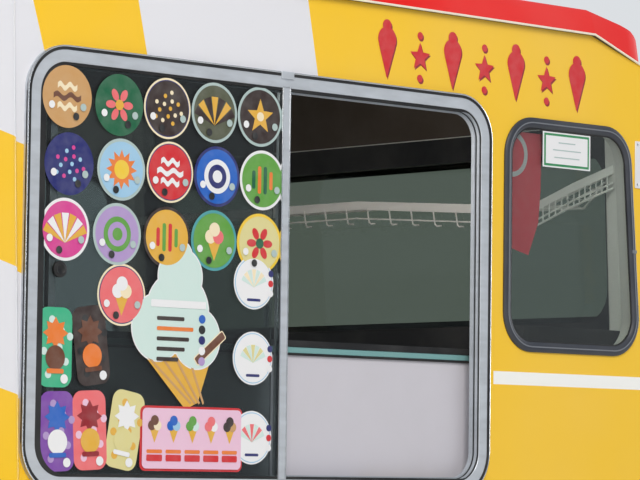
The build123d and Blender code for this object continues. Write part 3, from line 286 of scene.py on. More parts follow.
# Swooping bands on the body. Steep edges: x at the gutter and how fast it moves rearward going down.
# Level edges: height just ahead of the hatch and its first slope.
BAND_REF_Z = 2.260
BAND_REF_X = HATCH_X - 0.030
BAND_BEND = 0.160
BANDS = (
    {"x": HATCH_X + 0.006, "lean": 0.3125, "z": 1.9576, "slope": 0.258},
    {"x": HATCH_X + 0.3018, "lean": 0.2348, "z": 1.6888, "slope": 0.294},
    {"x": HATCH_X + 0.8112, "lean": 0.1977, "z": 1.4278, "slope": 0.2727},
)
BAND_ROUND = 0.06
COACHLINE = (1.492, 1.523)
LINE_START_X = HATCH_X + HATCH_W + 0.010
PAINT_EDGE = 0.0006
INSIDE_TURN = -0.12


def band_group():
    """Masks of the painted scheme: the yellow bands, the coachline, and the inner faces, whose darker colours
    in the materials are painted shade.
    """
    tree, given, out = new_group(
        "painted scheme", [("Roundness", FLOAT, BAND_ROUND)],
        [("Yellow", FLOAT), ("Line", FLOAT), ("Inside", FLOAT)],
    )
    place = place_of(tree)
    along = add(tree, "ShaderNodeSeparateXYZ", [place]).outputs
    ahead = maths(tree, "SUBTRACT", BAND_REF_X, along["X"])
    bend = maths(tree, "MULTIPLY", maths(tree, "MULTIPLY", ahead, ahead), BAND_BEND)
    passed = []
    for band in BANDS:
        drop = maths(tree, "SUBTRACT", BAND_REF_Z, along["Z"])
        steep = maths(tree, "MULTIPLY_ADD", drop, band["lean"], band["x"])
        behind = maths(tree, "SUBTRACT", along["X"], steep)
        rise = maths(tree, "MULTIPLY_ADD", ahead, band["slope"], band["z"])
        below = maths(tree, "SUBTRACT", maths(tree, "SUBTRACT", rise, bend), along["Z"])
        beyond = maths(tree, "SMOOTH_MAX", behind, below, given["Roundness"])
        passed.append(ramp(tree, beyond, -PAINT_EDGE, PAINT_EDGE))
    first = maths(tree, "SUBTRACT", passed[0], passed[1])
    put(tree, out["Yellow"], maths(tree, "ADD", first, passed[2]))
    low, high = COACHLINE
    above = ramp(tree, along["Z"], low - PAINT_EDGE, low + PAINT_EDGE)
    under = ramp(tree, along["Z"], high + PAINT_EDGE, high - PAINT_EDGE)
    aft = ramp(tree, along["X"], LINE_START_X, LINE_START_X + 0.001)
    put(tree, out["Line"], maths(tree, "MULTIPLY", maths(tree, "MULTIPLY", above, under), aft))
    facing = add(tree, "ShaderNodeNewGeometry").outputs["Normal"]
    outward = add(tree, "ShaderNodeVectorMath", [place, MIDDLE], operation="SUBTRACT").outputs[0]
    aligned = add(tree, "ShaderNodeVectorMath", [facing, outward], operation="DOT_PRODUCT").outputs["Value"]
    put(tree, out["Inside"], maths(tree, "LESS_THAN", aligned, INSIDE_TURN))
    return tree


PAINT, METAL, GRAIN, PRINT, WEAVE, SCHEME = (
    paint_group(), metal_group(), grain_group(), print_group(), weave_group(), band_group()
)


def new_material(name):
    material = bpy.data.materials.new(name)
    material.use_nodes = True
    tree = material.node_tree
    tree.nodes.clear()
    end = tree.nodes.new("ShaderNodeOutputMaterial")
    shader = tree.nodes.new("ShaderNodeBsdfPrincipled")
    tree.links.new(shader.outputs[0], end.inputs["Surface"])
    return material, tree, shader


def dress(tree, shader, group, values):
    """Gives a shader the colour, roughness and normal that a group puts out."""
    got = use(tree, group, values)
    put(tree, shader.inputs["Base Color"], got["Colour"])
    put(tree, shader.inputs["Roughness"], got["Roughness"])
    put(tree, shader.inputs["Normal"], got["Normal"])


def preset(shader, **values):
    """Sets a shader's plain values by socket name, with an underscore for each space."""
    for label, value in values.items():
        shader.inputs[label.replace("_", " ")].default_value = value


def surface(name, group, values, **shader_values):
    """A material whose colour, roughness and normal come from a group; the rest is set on the shader."""
    material, tree, shader = new_material(name)
    dress(tree, shader, group, values)
    preset(shader, **shader_values)
    return material


REAR_DARK_X = 2.440


def clear_glass(name, colour, roughness=0.02, shade=0.35, rear_painted_dark=None):
    """Glass that lets part of the lamp light through to what is behind it; the rear pane may take a painted
    dark green for the dark trees seen through it.
    """
    material, tree, shader = new_material(name)
    preset(shader, Base_Color=colour, Transmission_Weight=1.0, IOR=1.45)
    # Rear pane: painted dark green for the dark trees seen through clear glass, not a tint of the glass
    if rear_painted_dark:
        ahead = add(tree, "ShaderNodeSeparateXYZ", [place_of(tree)]).outputs["X"]
        at_rear = ramp(tree, ahead, REAR_DARK_X, REAR_DARK_X + 0.002)
        put(tree, shader.inputs["Base Color"], mixed(tree, at_rear, colour, rear_painted_dark))
    smear = noise(tree, place_of(tree), 14.0, 5.0, 0.7)
    put(tree, shader.inputs["Roughness"], ramp(tree, smear, 0.4, 0.8, roughness, roughness + 0.04))
    clear = add(tree, "ShaderNodeBsdfTransparent", {"Color": (shade, shade, shade, 1)})
    shadow = add(tree, "ShaderNodeLightPath").outputs["Is Shadow Ray"]
    both = add(tree, "ShaderNodeMixShader", [shadow, shader.outputs[0], clear.outputs[0]])
    tree.links.new(both.outputs[0], tree.nodes["Material Output"].inputs["Surface"])
    return material


def panel_material():
    """Vehicle paint in white with yellow bands and a white coachline; the inside is white lining darkened a
    little as painted shade.
    """
    material, tree, shader = new_material("panel paint")
    masks = use(tree, SCHEME, {})
    white, yellow = srgb(233, 233, 239), srgb(255, 204, 34)
    banded = mixed(tree, masks["Yellow"], white, yellow)
    lined = mixed(tree, masks["Line"], banded, srgb(254, 254, 250))
    # The inside colour is a little darker than the white lining: painted shade of the interior
    coloured = mixed(tree, masks["Inside"], lined, srgb(214, 214, 208))
    dress(tree, shader, PAINT, {"Colour": coloured, "Gloss": 0.2, "Dust": 0.35})
    preset(shader, Specular_IOR_Level=0.35, Coat_Weight=0.25, Coat_Roughness=0.08)
    return material


def crown_material():
    """Red gelcoat roof whose inner faces are dark brown, a painted shade of the dark space under the roof."""
    material, tree, shader = new_material("roof red")
    masks = use(tree, SCHEME, {})
    # Inner faces dark brown: painted shade, not the lining's own colour
    coloured = mixed(tree, masks["Inside"], srgb(236, 14, 16), srgb(62, 50, 42))
    dress(tree, shader, PAINT, {"Colour": coloured, "Gloss": 0.5, "Dust": 0.04})
    preset(shader, Specular_IOR_Level=0.03)
    return material


def lamp_material():
    """Ribbed clear lens over a bright reflector."""
    material, tree, shader = new_material("ribbed lamp lens")
    place = place_of(tree)
    upright = {"Vector": place, "Scale": 22.0, "Distortion": 0.0}
    level = {"Vector": place, "Scale": 5.0, "Distortion": 0.0}
    ribs = add(tree, "ShaderNodeTexWave", upright, bands_direction="Y").outputs["Fac"]
    rows = add(tree, "ShaderNodeTexWave", level, bands_direction="Z").outputs["Fac"]
    height = maths(tree, "MULTIPLY_ADD", rows, 0.3, ribs)
    put(tree, shader.inputs["Base Color"], mixed(tree, ribs, (0.62, 0.66, 0.70, 1), (0.90, 0.92, 0.94, 1)))
    put(tree, shader.inputs["Roughness"], ramp(tree, noise(tree, place, 30.0), 0.3, 0.7, 0.10, 0.20))
    put(tree, shader.inputs["Normal"], relief(tree, height, 0.5, 0.002))
    preset(shader, Metallic=0.75, Coat_Weight=1.0)
    return material


def wafer_material():
    """Biscuit-coloured moulding, browner in random patches."""
    material, tree, shader = new_material("wafer moulding")
    toast = ramp(tree, noise(tree, place_of(tree), 18.0, 5.0, 0.6), 0.35, 0.7)
    biscuit = mixed(tree, toast, srgb(226, 160, 84), srgb(196, 122, 56))
    dress(tree, shader, PAINT, {"Colour": biscuit, "Gloss": 0.4, "Dust": 0.1})
    return material


M = {
    "panel": panel_material(),
    "roof": crown_material(),
    "wafer": wafer_material(),
    "lamp": lamp_material(),
    # The rear pane's dark green is painted, for the dark trees seen through it
    "glass": clear_glass("window glass", (0.66, 0.72, 0.70, 1), shade=0.25, rear_painted_dark=(0.20, 0.24, 0.18, 1)),
    # Hatch glass darkened: painted shade of the vending space behind it and painted reflection of dark trees
    "hatch glass": clear_glass("hatch glass", (0.46, 0.51, 0.50, 1), shade=0.25),
    "lens": clear_glass("clear lens", (0.95, 0.96, 0.97, 1), 0.05, 0.9),
}

PAINTS = (
    # finish, material, screen colour, gloss, dust, coat, metallic
    ("white", "white paint", (236, 236, 240), 0.2, 0.2, 0.4, 0.0),
    ("chassis", "chassis black", (38, 38, 40), 0.5, 0.9, 0.0, 0.0),
    ("wheel", "wheel silver", (186, 188, 192), 0.35, 0.6, 0.0, 0.5),
    ("cream", "cream moulding", (250, 244, 226), 0.25, 0.1, 0.3, 0.0),
)
for finish, name, screen, gloss, dust, coat, metallic in PAINTS:
    values = {"Colour": srgb(*screen), "Gloss": gloss, "Dust": dust}
    M[finish] = surface(name, PAINT, values, Coat_Weight=coat, Metallic=metallic)

METALS = (
    # finish, material, screen colour, roughness, wear, metallic
    ("cast", "rough casting", (96, 94, 90), 0.55, 0.8, 0.8),
    ("exhaust", "stained steel", (150, 140, 128), 0.45, 0.9, 0.9),
    ("band", "frame aluminium", (210, 216, 224), 0.34, 0.06, 0.3),
    ("channel", "anodised channel", (186, 193, 202), 0.5, 0.1, 0.15),
    ("filler", "dull filler strip", (128, 132, 140), 0.4, 0.1, 0.2),
    ("bright", "bright trim", (226, 229, 232), 0.12, 0.05, 1.0),
    ("steel", "stainless sheet", (205, 207, 208), 0.25, 0.15, 1.0),
    ("mirror", "mirror glass", (225, 230, 235), 0.03, 0.03, 1.0),
)
for finish, name, screen, roughness, wear, metallic in METALS:
    values = {"Colour": srgb(*screen), "Roughness": roughness, "Wear": wear}
    M[finish] = surface(name, METAL, values, Metallic=metallic)

GRAINS = (
    # finish, material, screen colour, roughness, grain scale, grain depth, dust
    ("plastic", "dark plastic", (46, 46, 49), 0.5, 300.0, 0.4, 0.4),
    ("black", "black plastic", (20, 20, 22), 0.45, 300.0, 0.3, 0.4),
    ("tyre", "tyre rubber", (34, 34, 35), 0.75, 500.0, 0.5, 0.7),
    ("seal", "seal rubber", (50, 54, 64), 0.42, 200.0, 0.15, 0.1),
    ("laminate", "grey laminate", (208, 205, 213), 0.35, 90.0, 0.1, 0.0),
    ("teal", "teal edging", (120, 168, 168), 0.35, 120.0, 0.1, 0.0),
    ("lining", "white lining", (226, 226, 220), 0.45, 60.0, 0.1, 0.0),
    # ceiling board: dark brown painted shade of the space under the roof
    ("ceiling", "ceiling board", (64, 54, 45), 0.6, 60.0, 0.1, 0.0),
    ("floor", "studded floor", (112, 114, 116), 0.6, 120.0, 0.6, 0.3),
    ("wire", "coated wire", (246, 245, 240), 0.35, 80.0, 0.1, 0.0),
)
for finish, name, screen, roughness, scale, depth, dust in GRAINS:
    values = {"Colour": srgb(*screen), "Roughness": roughness, "Scale": scale, "Depth": depth, "Dust": dust}
    M[finish] = surface(name, GRAIN, values)

YARNS = {"Warp": srgb(52, 56, 68), "Weft": srgb(80, 84, 96), "Scale": 260.0}
M["cloth"] = surface("seat cloth", WEAVE, YARNS, Sheen_Weight=0.3)
for finish, screen in (("red lens", (190, 14, 18)), ("amber lens", (240, 130, 10))):
    M[finish] = surface(finish, PRINT, {"Colour": srgb(*screen), "Age": 0.1}, Coat_Weight=1.0)

VINYL = {
    "red": (214, 36, 44), "deep red": (150, 22, 34), "cream": (248, 232, 196), "white": (242, 242, 244),
    "tan": (206, 158, 100), "gold": (232, 178, 60), "brown": (108, 62, 38), "dark brown": (52, 36, 32),
    "olive": (84, 88, 66), "forest": (14, 98, 62), "leaf green": (36, 142, 84), "leaf": (96, 162, 62),
    "mint": (60, 182, 136), "pale mint": (212, 234, 228), "sky": (160, 204, 234), "blue": (20, 98, 196),
    "navy": (28, 34, 110), "magenta": (220, 66, 150), "pink": (240, 198, 222), "lilac": (180, 152, 206),
    "purple": (128, 72, 170), "yellow": (246, 206, 52), "orange": (238, 126, 44), "silver": (178, 198, 196),
    "black": (26, 26, 28), "teal": (70, 160, 168), "rose": (240, 112, 116), "bright rose": (255, 92, 104),
    "straw": (226, 216, 150),
}
for shade, screen in VINYL.items():
    M[f"vinyl {shade}"] = surface(f"vinyl {shade}", PRINT, {"Colour": srgb(*screen)}, Coat_Weight=0.3)

NODE_FINISH = {
    "panel": [
        "side_wall_near", "side_wall_off", "rear_wall", "forward_panels", "cab_shell", "door_near",
        "door_off", "front_wings", "bonnet",
    ],
    "roof": ["roof_crown"],
    "chassis": ["chassis_rails", "crossmembers", "front_axle", "rear_axle"],
    "cast": ["knuckle_near", "knuckle_off", "engine_block", "driveline"],
    "exhaust": ["exhaust"],
    "plastic": ["front_bumper", "rear_bumper", "grille", "mirror_near", "mirror_off", "dashboard"],
    "black": ["arch_liners", "fuel_tank", "steering_wheel"],
    "wheel": ["rim_front_near", "rim_front_off", "rim_rear_near", "rim_rear_off"],
    "band": ["hatch_frame"],
    "glass": ["fixed_glass", "door_glass_near", "door_glass_off"],
    "hatch glass": ["hatch_glass"],
    "lamp": ["headlamps"],
    "wafer": ["roof_cone"],
    "cloth": ["seats"],
    "seal": ["window_seals"],
    "wire": ["wire_shelf"],
    "tyre": ["tyre_front_near", "tyre_front_off", "tyre_rear_near", "tyre_rear_off"],
    "red lens": ["rear_lamps"],
    "steel": ["ice_machine"],
    "laminate": ["serving_counter", "storage_cabinets"],
    "floor": ["floor"],
}
for finish, names in NODE_FINISH.items():
    for name in names:
        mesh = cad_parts[name].data
        mesh.materials.clear()
        mesh.materials.append(M[finish])


# Mesh building


def placed(name, data):
    """A new object in the scene."""
    made = bpy.data.objects.new(name, data)
    bpy.context.scene.collection.objects.link(made)
    return made


def solid_mesh(name, points, faces):
    """A mesh whose faces all look outward."""
    mesh = bpy.data.meshes.new(name)
    mesh.from_pydata([tuple(p) for p in points], [], faces)
    shape = bmesh.new()
    shape.from_mesh(mesh)
    bmesh.ops.recalc_face_normals(shape, faces=shape.faces)
    shape.to_mesh(mesh)
    shape.free()
    return mesh


class Piece:
    """Gathers faces in the vehicle's own metres, then becomes one object that rides on a body."""

    def __init__(self, name, finish, body="body"):
        self.name, self.finish, self.body = name, finish, body
        self.points, self.faces = [], []

    def loft(self, rings, loop=False):
        """Joins rings of points with quads; loop joins last to first, else both ends are closed."""
        start, width = len(self.points), len(rings[0])
        for ring in rings:
            self.points.extend(Vector(p) for p in ring)
        steps = len(rings) if loop else len(rings) - 1
        for i in range(steps):
            a, b = start + i * width, start + (i + 1) % len(rings) * width
            for j in range(width):
                k = (j + 1) % width
                self.faces.append((a + j, a + k, b + k, b + j))
        if not loop:
            last = start + (len(rings) - 1) * width
            self.faces.append(tuple(start + j for j in reversed(range(width))))
            self.faces.append(tuple(last + j for j in range(width)))
        return self

    def prism(self, outline, push):
        """Solid from a flat outline pushed along a vector."""
        base = [Vector(p) for p in outline]
        return self.loft([base, [p + Vector(push) for p in base]])

    def slab(self, outline, plane, low, thick):
        """Solid from an outline in a panel's own right and up, that starts low and is thick outward."""
        ring = [plane @ Vector((x, y, low)) for x, y in outline]
        return self.prism(ring, plane.to_3x3() @ Vector((0, 0, thick)))

    def box(self, x0, x1, y0, y1, z0, z1):
        return self.prism([(x0, y0, z0), (x1, y0, z0), (x1, y1, z0), (x0, y1, z0)], (0, 0, z1 - z0))

    def tube(self, path, radius, sides=8, loop=False):
        """Round bar along a path."""
        path = [Vector(p) for p in path]
        rings, side = [], None
        for i, point in enumerate(path):
            before = path[i - 1] if i or loop else point
            after = path[(i + 1) % len(path)] if i < len(path) - 1 or loop else point
            along = (after - before).normalized()
            if side is None:
                side = along.orthogonal().normalized()
            side = (side - along * side.dot(along)).normalized()
            other = along.cross(side)
            turns = [2 * math.pi * k / sides for k in range(sides)]
            rings.append([point + (side * math.cos(t) + other * math.sin(t)) * radius for t in turns])
        return self.loft(rings, loop=loop)

    def turned(self, rows, centre, axis, sides=32, loop=False):
        """Shape turned about an axis: rows are (radius, distance along the axis)."""
        axis = Vector(axis).normalized()
        side = axis.orthogonal().normalized()
        other = axis.cross(side)
        rings = []
        for r, along in rows:
            turns = [2 * math.pi * k / sides for k in range(sides)]
            middle = Vector(centre) + axis * along
            rings.append([middle + (side * math.cos(t) + other * math.sin(t)) * max(r, 1e-5) for t in turns])
        return self.loft(rings, loop=loop)

    def frame_ring(self, outline, section, plane):
        """Sweeps section rows (inset, proud) round a flat outline that lies in a plane."""
        rings = []
        for point, inward in outline:
            rings.append([
                plane @ Vector((point.x + inward.x * inset, point.y + inward.y * inset, proud))
                for inset, proud in section
            ])
        return self.loft(rings, loop=True)

    def done(self, bevel=0.0, smooth=35.0, replaces=(), slot=None):
        """Makes the object, with soft edges where a bevel is given."""
        mesh = solid_mesh(self.name, self.points, self.faces)
        mesh.shade_smooth()
        mesh.set_sharp_from_angle(angle=math.radians(smooth))
        mesh.materials.append(M[self.finish])
        made = placed(self.name, mesh)
        if bevel:
            soft = made.modifiers.new("soft edges", "BEVEL")
            soft.width, soft.segments, soft.limit_method = bevel, 2, "ANGLE"
        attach(made, self.body)
        if replaces:
            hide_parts(*replaces)
        return made


def turned_plane(origin, right, out):
    """Matrix from a panel's own right, up and outward measures to the vehicle."""
    out = Vector(out).normalized()
    right = Vector(right).normalized()
    up = out.cross(right)
    return Matrix.Translation(origin) @ Matrix((right, up, out)).transposed().to_4x4()


def rounded(points, radius, steps=8):
    """Outline with rounded corners, as (point, inward direction) rows, for corners given anticlockwise."""
    rows = []
    count = len(points)
    for i in range(count):
        before, corner, after = (Vector(points[(i + k - 1) % count]) for k in range(3))
        to_before, to_after = (before - corner).normalized(), (after - corner).normalized()
        half = to_before.angle(to_after) / 2
        centre = corner + (to_before + to_after).normalized() * (radius / math.sin(half))
        first = corner + to_before * (radius / math.tan(half)) - centre
        last = corner + to_after * (radius / math.tan(half)) - centre
        sweep = first.angle(last)
        for k in range(steps + 1):
            t = k / steps
            arm = (first * math.sin((1 - t) * sweep) + last * math.sin(t * sweep)) / math.sin(sweep)
            rows.append((centre + arm, -arm.normalized()))
    return rows


def rounded_box(w, h, r, x=0.0, y=0.0, steps=6):
    """Rounded rectangle about a middle, as (point, inward direction) rows."""
    corners = [(x - w / 2, y - h / 2), (x + w / 2, y - h / 2), (x + w / 2, y + h / 2), (x - w / 2, y + h / 2)]
    return rounded(corners, r, steps)


def rounded_plate(w, h, r, x=0.0, y=0.0, steps=6):
    """Rounded rectangle about a middle, as plain points."""
    return [(p.x, p.y) for p, inward in rounded_box(w, h, r, x, y, steps)]


def flat_section(inset, inset_end, back, front):
    """Section rows of a flat strip between two insets."""
    return [(inset, back), (inset, front), (inset_end, front), (inset_end, back)]


NEAR = turned_plane((0, -SIDE_Y, 0), (1, 0, 0), (0, -1, 0))
OFF = turned_plane((0, SIDE_Y, 0), (-1, 0, 0), (0, 1, 0))
REAR = turned_plane((rear_x(0), 0, 0), (0, 1, 0), (1, 0, REAR_RAKE))
REAR_UP = math.hypot(1, REAR_RAKE)
SCREEN_SLOPE = Vector((HEADER[0] - COWL[0], 0, HEADER[1] - COWL[1]))
SCREEN = turned_plane((COWL[0], 0, COWL[1]), (0, -1, 0), (-SCREEN_SLOPE.z, 0, SCREEN_SLOPE.x))
SIDES = (("near", -1), ("off", 1))


# Serving hatch: drawn aluminium frame in place of the plain one, with its flange, rubber and channels

FRAME_SHIFT = -0.011
FRAME_FRONT = 0.010
FRAME_BACK = -0.011
FRAME_BAND = 0.036
HATCH_H = HATCH_TOP - HATCH_LOW
HATCH_MIDDLE = (HATCH_X + HATCH_W / 2, (HATCH_TOP + HATCH_LOW) / 2)
PANE_OUTLINE = rounded_box(HATCH_W, HATCH_H, HATCH_R, *HATCH_MIDDLE, steps=12)
FRAME_MIDDLE = (HATCH_MIDDLE[0] + FRAME_SHIFT, HATCH_MIDDLE[1])
FRAME_OUTLINE = rounded_box(HATCH_W, HATCH_H, HATCH_R, *FRAME_MIDDLE, steps=12)
band = Piece("hatch_band", "band")
band.frame_ring(FRAME_OUTLINE, [
    (0.0, FRAME_BACK), (0.0, FRAME_FRONT), (FRAME_BAND - 0.001, FRAME_FRONT),
    (FRAME_BAND, FRAME_FRONT - 0.001), (FRAME_BAND, FRAME_BACK),
], NEAR)
post_x = HATCH_X + POST_X - 0.016
post_low, post_high = HATCH_LOW + FRAME_BAND - 0.002, HATCH_TOP - FRAME_BAND + 0.002
band.box(post_x, post_x + POST_W, -SIDE_Y - FRAME_FRONT, -SIDE_Y - FRAME_BACK, post_low, post_high)
band.done(replaces=["hatch_frame"], slot="hatch_aluminium")
HATCH_TRIMS = (
    # piece, finish, outline, section rows (inset from the outline, proud of the panel)
    ("hatch_flange", "bright", FRAME_OUTLINE,
     [(0.0, 0.006), (0.0, 0.0112), (0.0015, 0.0118), (0.003, 0.0112), (0.003, 0.009)]),
    ("hatch_rubber", "black", FRAME_OUTLINE,
     [(0.003, 0.008), (0.0035, 0.0112), (0.0095, 0.0112), (0.010, 0.008)]),
    ("hatch_channel_outer", "black", FRAME_OUTLINE, flat_section(0.0362, 0.038, -0.004, 0.008)),
    ("hatch_channel_middle", "channel", FRAME_OUTLINE, flat_section(0.038, 0.0405, -0.009, 0.005)),
    ("hatch_channel_inner", "black", FRAME_OUTLINE, flat_section(0.0405, 0.042, -0.013, -0.002)),
    ("hatch_channel_back", "channel", FRAME_OUTLINE, flat_section(0.042, 0.0455, -0.015, -0.005)),
    ("hatch_gasket", "black", PANE_OUTLINE,
     [(0.026, 0.0062), (0.026, 0.0074), (0.0415, 0.0074), (0.0425, 0.0062)]),
)
for name, finish, outline, section in HATCH_TRIMS:
    Piece(name, finish).frame_ring(outline, section, NEAR).done()

joint_cover = Piece("hatch_joint_cover", "band")
joint_cover.box(
    HATCH_X + 0.706, HATCH_X + 0.744, -SIDE_Y - 0.0132, -SIDE_Y - 0.006, HATCH_TOP - 0.016, HATCH_TOP + 0.001
)
joint_cover.done(bevel=0.001)

post = Piece("hatch_post_edges", "bright")
for x in (post_x - 0.001, post_x + POST_W - 0.002):
    post.box(x, x + 0.003, -SIDE_Y - FRAME_FRONT - 0.002, -SIDE_Y + 0.002, post_low, post_high)
post.done(bevel=0.0005)

# Sliding pane's edge channel, finger pull and lock, seen through the fixed glass
PANE_LOW, PANE_HIGH = HATCH_LOW + 0.045, HATCH_TOP - 0.045
Piece("slide_pane_channel", "channel").box(
    HATCH_X + 0.062, HATCH_X + 0.080, -SIDE_Y + 0.002, -SIDE_Y + 0.014, PANE_LOW, PANE_HIGH
).done(bevel=0.001)
Piece("slide_pane_strip", "black").box(
    HATCH_X + 0.055, HATCH_X + 0.061, -SIDE_Y + 0.002, -SIDE_Y + 0.012, PANE_LOW, PANE_HIGH
).done(bevel=0.001)
LOCK_ROWS = [
    (0.0, -0.004), (0.016, -0.004), (0.0175, 0.0), (0.0175, 0.006), (0.011, 0.008), (0.006, 0.005),
    (0.0, 0.005),
]
Piece("hatch_lock", "black").turned(
    LOCK_ROWS, (HATCH_X + 0.083, -SIDE_Y - GLASS_FACE, 1.696), (0, -1, 0), 24
).done()
Piece("hatch_pane_handle", "bright").tube(
    [(HATCH_X + 0.690, -SIDE_Y + 0.0155, z) for z in (1.60, 1.66, 1.72)], 0.006
).done()


# Stickers on the hatch glass: flat shapes gathered by colour, each a little in front of the last

SHEETS = {}
LAYER = 0.00035
SHEET_THICK = LAYER * 0.8
SHEET_STEPS = 24
GOLDEN_TURN = 2.39996
WAVE_STEPS = 24


def circle(cx, cy, r, steps=40, squash=1.0):
    turns = [2 * math.pi * k / steps for k in range(steps)]
    return [(cx + r * math.cos(turn), cy + r * squash * math.sin(turn)) for turn in turns]


def stick(outline, colour, level, base=GLASS_FACE):
    """Adds one flat sticker shape, given in the panel's own right and up."""
    sheet = SHEETS.setdefault(colour, Piece("sticker_" + colour.replace(" ", "_"), "vinyl " + colour))
    low = base + LAYER * (level + len(sheet.faces) % SHEET_STEPS / SHEET_STEPS)
    sheet.slab(outline, NEAR, low, SHEET_THICK)


def turned_outline(outline, cx, cy, size=1.0, angle=0.0):
    """An outline sized, turned by an angle in degrees and moved to a middle."""
    c, s = math.cos(math.radians(angle)) * size, math.sin(math.radians(angle)) * size
    return [(cx + x * c - y * s, cy + x * s + y * c) for x, y in outline]


def bar_shape(w, h, r):
    return rounded_plate(w, h, r, steps=5)


def star_shape(points, outer, inner):
    shape = []
    for k in range(points * 2):
        turn = math.pi * k / points + math.pi / 2
        reach = outer if k % 2 == 0 else inner
        shape.append((reach * math.cos(turn), reach * math.sin(turn)))
    return shape


def wave_shape(width, thick, height, turns):
    """Wavy strip about the origin."""
    rows = []
    for k in range(WAVE_STEPS + 1):
        x = width * (k / WAVE_STEPS - 0.5)
        rows.append((x, height * math.sin(2 * math.pi * turns * x / width)))
    return [(x, y - thick / 2) for x, y in rows] + [(x, y + thick / 2) for x, y in reversed(rows)]


def motif_scoops(x, y, s, one, two, level):
    stick(turned_outline([(-0.34, 0.0), (0.0, -0.78), (0.34, 0.0)], x, y, s), "gold", level)
    for dx, dy, shade in ((-0.2, 0.14, one), (0.2, 0.14, two), (0.0, 0.42, one)):
        stick(circle(x + dx * s, y + dy * s, 0.27 * s, 24), shade, level + 1 + (dy > 0.2))


def motif_waves(x, y, s, one, two, level):
    for dy, shade in ((-0.38, one), (0.0, two), (0.38, one)):
        stick(turned_outline(wave_shape(1.3 - abs(dy), 0.2, 0.08, 2), x, y + dy * s, s), shade, level)


def motif_star(x, y, s, one, two, level):
    stick(turned_outline(star_shape(5, 0.7, 0.3), x, y, s), one, level)
    stick(circle(x, y, 0.18 * s, 20), two, level + 1)


def motif_petals(x, y, s, one, two, level):
    for k in range(6):
        a = math.pi * k / 3
        stick(turned_outline(circle(0.42, 0, 0.24, 20, 0.62), x, y, s, math.degrees(a)), one, level + k % 2)
    stick(circle(x, y, 0.2 * s, 20), two, level + 2)


def motif_dots(x, y, s, one, two, level):
    for k in range(14):
        a, r = k * GOLDEN_TURN, 0.19 * math.sqrt(k + 0.5)
        dot = circle(x + r * math.cos(a) * s, y + r * math.sin(a) * s, 0.085 * s, 12)
        stick(dot, one if k % 2 else two, level)


def motif_sun(x, y, s, one, two, level):
    stick(turned_outline(star_shape(12, 0.75, 0.48), x, y, s), one, level)
    stick(circle(x, y, 0.36 * s, 28), two, level + 1)


def motif_bars(x, y, s, one, two, level):
    for k, dx in enumerate((-0.45, -0.15, 0.15, 0.45)):
        bar = bar_shape(0.17, 1.25 - abs(dx) * 1.2, 0.08)
        stick(turned_outline(bar, x + dx * s, y, s), one if k % 2 else two, level)


def motif_rings(x, y, s, one, two, level):
    stick(circle(x, y, 0.66 * s), one, level)
    stick(circle(x, y, 0.46 * s), two, level + 1)
    stick(circle(x, y, 0.24 * s), one, level + 2)


def motif_fan(x, y, s, one, two, level):
    for k in range(7):
        a = math.radians(30 + 20 * k)
        tips = [(1.12 * math.cos(turn), -0.5 + 1.12 * math.sin(turn)) for turn in (a - 0.15, a + 0.15)]
        stick(turned_outline([(0, -0.5), *tips], x, y, s), one if k % 2 else two, level)


DISC_R = 0.0665
DISC_BADGE_R = 0.0082
DISC_BADGE_OUT = 0.047
DISCS = (
    # x from the frame's left edge, height, face, rim (or None), motif and its two colours
    (0.097, 2.062, "tan", None, motif_waves, "cream", "brown"),
    (0.240, 2.056, "forest", None, motif_petals, "rose", "gold"),
    (0.376, 2.060, "dark brown", "cream", motif_dots, "cream", "gold"),
    (0.512, 2.062, "olive", "silver", motif_fan, "gold", "dark brown"),
    (0.647, 2.064, "dark brown", "silver", motif_star, "gold", "cream"),
    (0.105, 1.920, "navy", None, motif_dots, "magenta", "sky"),
    (0.249, 1.918, "sky", "silver", motif_sun, "orange", "yellow"),
    (0.386, 1.922, "red", "cream", motif_waves, "white", "white"),
    (0.522, 1.922, "blue", "navy", motif_rings, "white", "navy"),
    (0.656, 1.923, "leaf", "white", motif_bars, "orange", "forest"),
    (0.097, 1.781, "magenta", "white", motif_fan, "white", "gold"),
    (0.240, 1.779, "lilac", "silver", motif_rings, "leaf", "lilac"),
    (0.380, 1.780, "gold", "dark brown", motif_bars, "leaf", "red"),
    (0.516, 1.781, "leaf", "teal", motif_scoops, "cream", "rose"),
    (0.650, 1.782, "straw", "yellow", motif_petals, "red", "forest"),
    (0.255, 1.650, "rose", "cream", motif_scoops, "white", "cream"),
)
for x, z, face, rim, motif, one, two in DISCS:
    cx = HATCH_X + x
    if rim:
        stick(circle(cx, z, DISC_R, 56), rim, 1)
        if rim == "cream":
            stick(circle(cx, z, DISC_R - 0.0045, 56), "navy", 2)
    stick(circle(cx, z, DISC_R - (0.0065 if rim else 0.0), 56), face, 3)
    motif(cx, z, DISC_R * 0.86, one, two, 4)
    for turn, shade in ((205, "white"), (250 if rim else 300, "black"), (335, "silver")):
        a = math.radians(turn)
        badge = (cx + DISC_BADGE_OUT * math.cos(a), z + DISC_BADGE_OUT * math.sin(a))
        stick(circle(*badge, DISC_BADGE_R, 16), shade, 9)

# Pale discs down the right edge
cx = HATCH_X + 0.635
for z, one in ((1.694, "cream"), (1.527, "straw"), (1.352, "rose")):
    stick(circle(cx, z, 0.059, 48), "white", 1)
    stick(circle(cx, z, 0.0555, 48), "sky", 2)
    stick(circle(cx, z, 0.0535, 48), "white", 3)
    motif_fan(cx, z + 0.008, 0.036, one, "pale mint", 4)
    stick(turned_outline(bar_shape(0.040, 0.006, 0.0025), cx, z - 0.038), "navy", 4)
    for k, shade in enumerate(("navy", "red", "white")):
        stick(circle(cx + 0.050, z + 0.022 - 0.022 * k, 0.0075, 14), shade, 5)

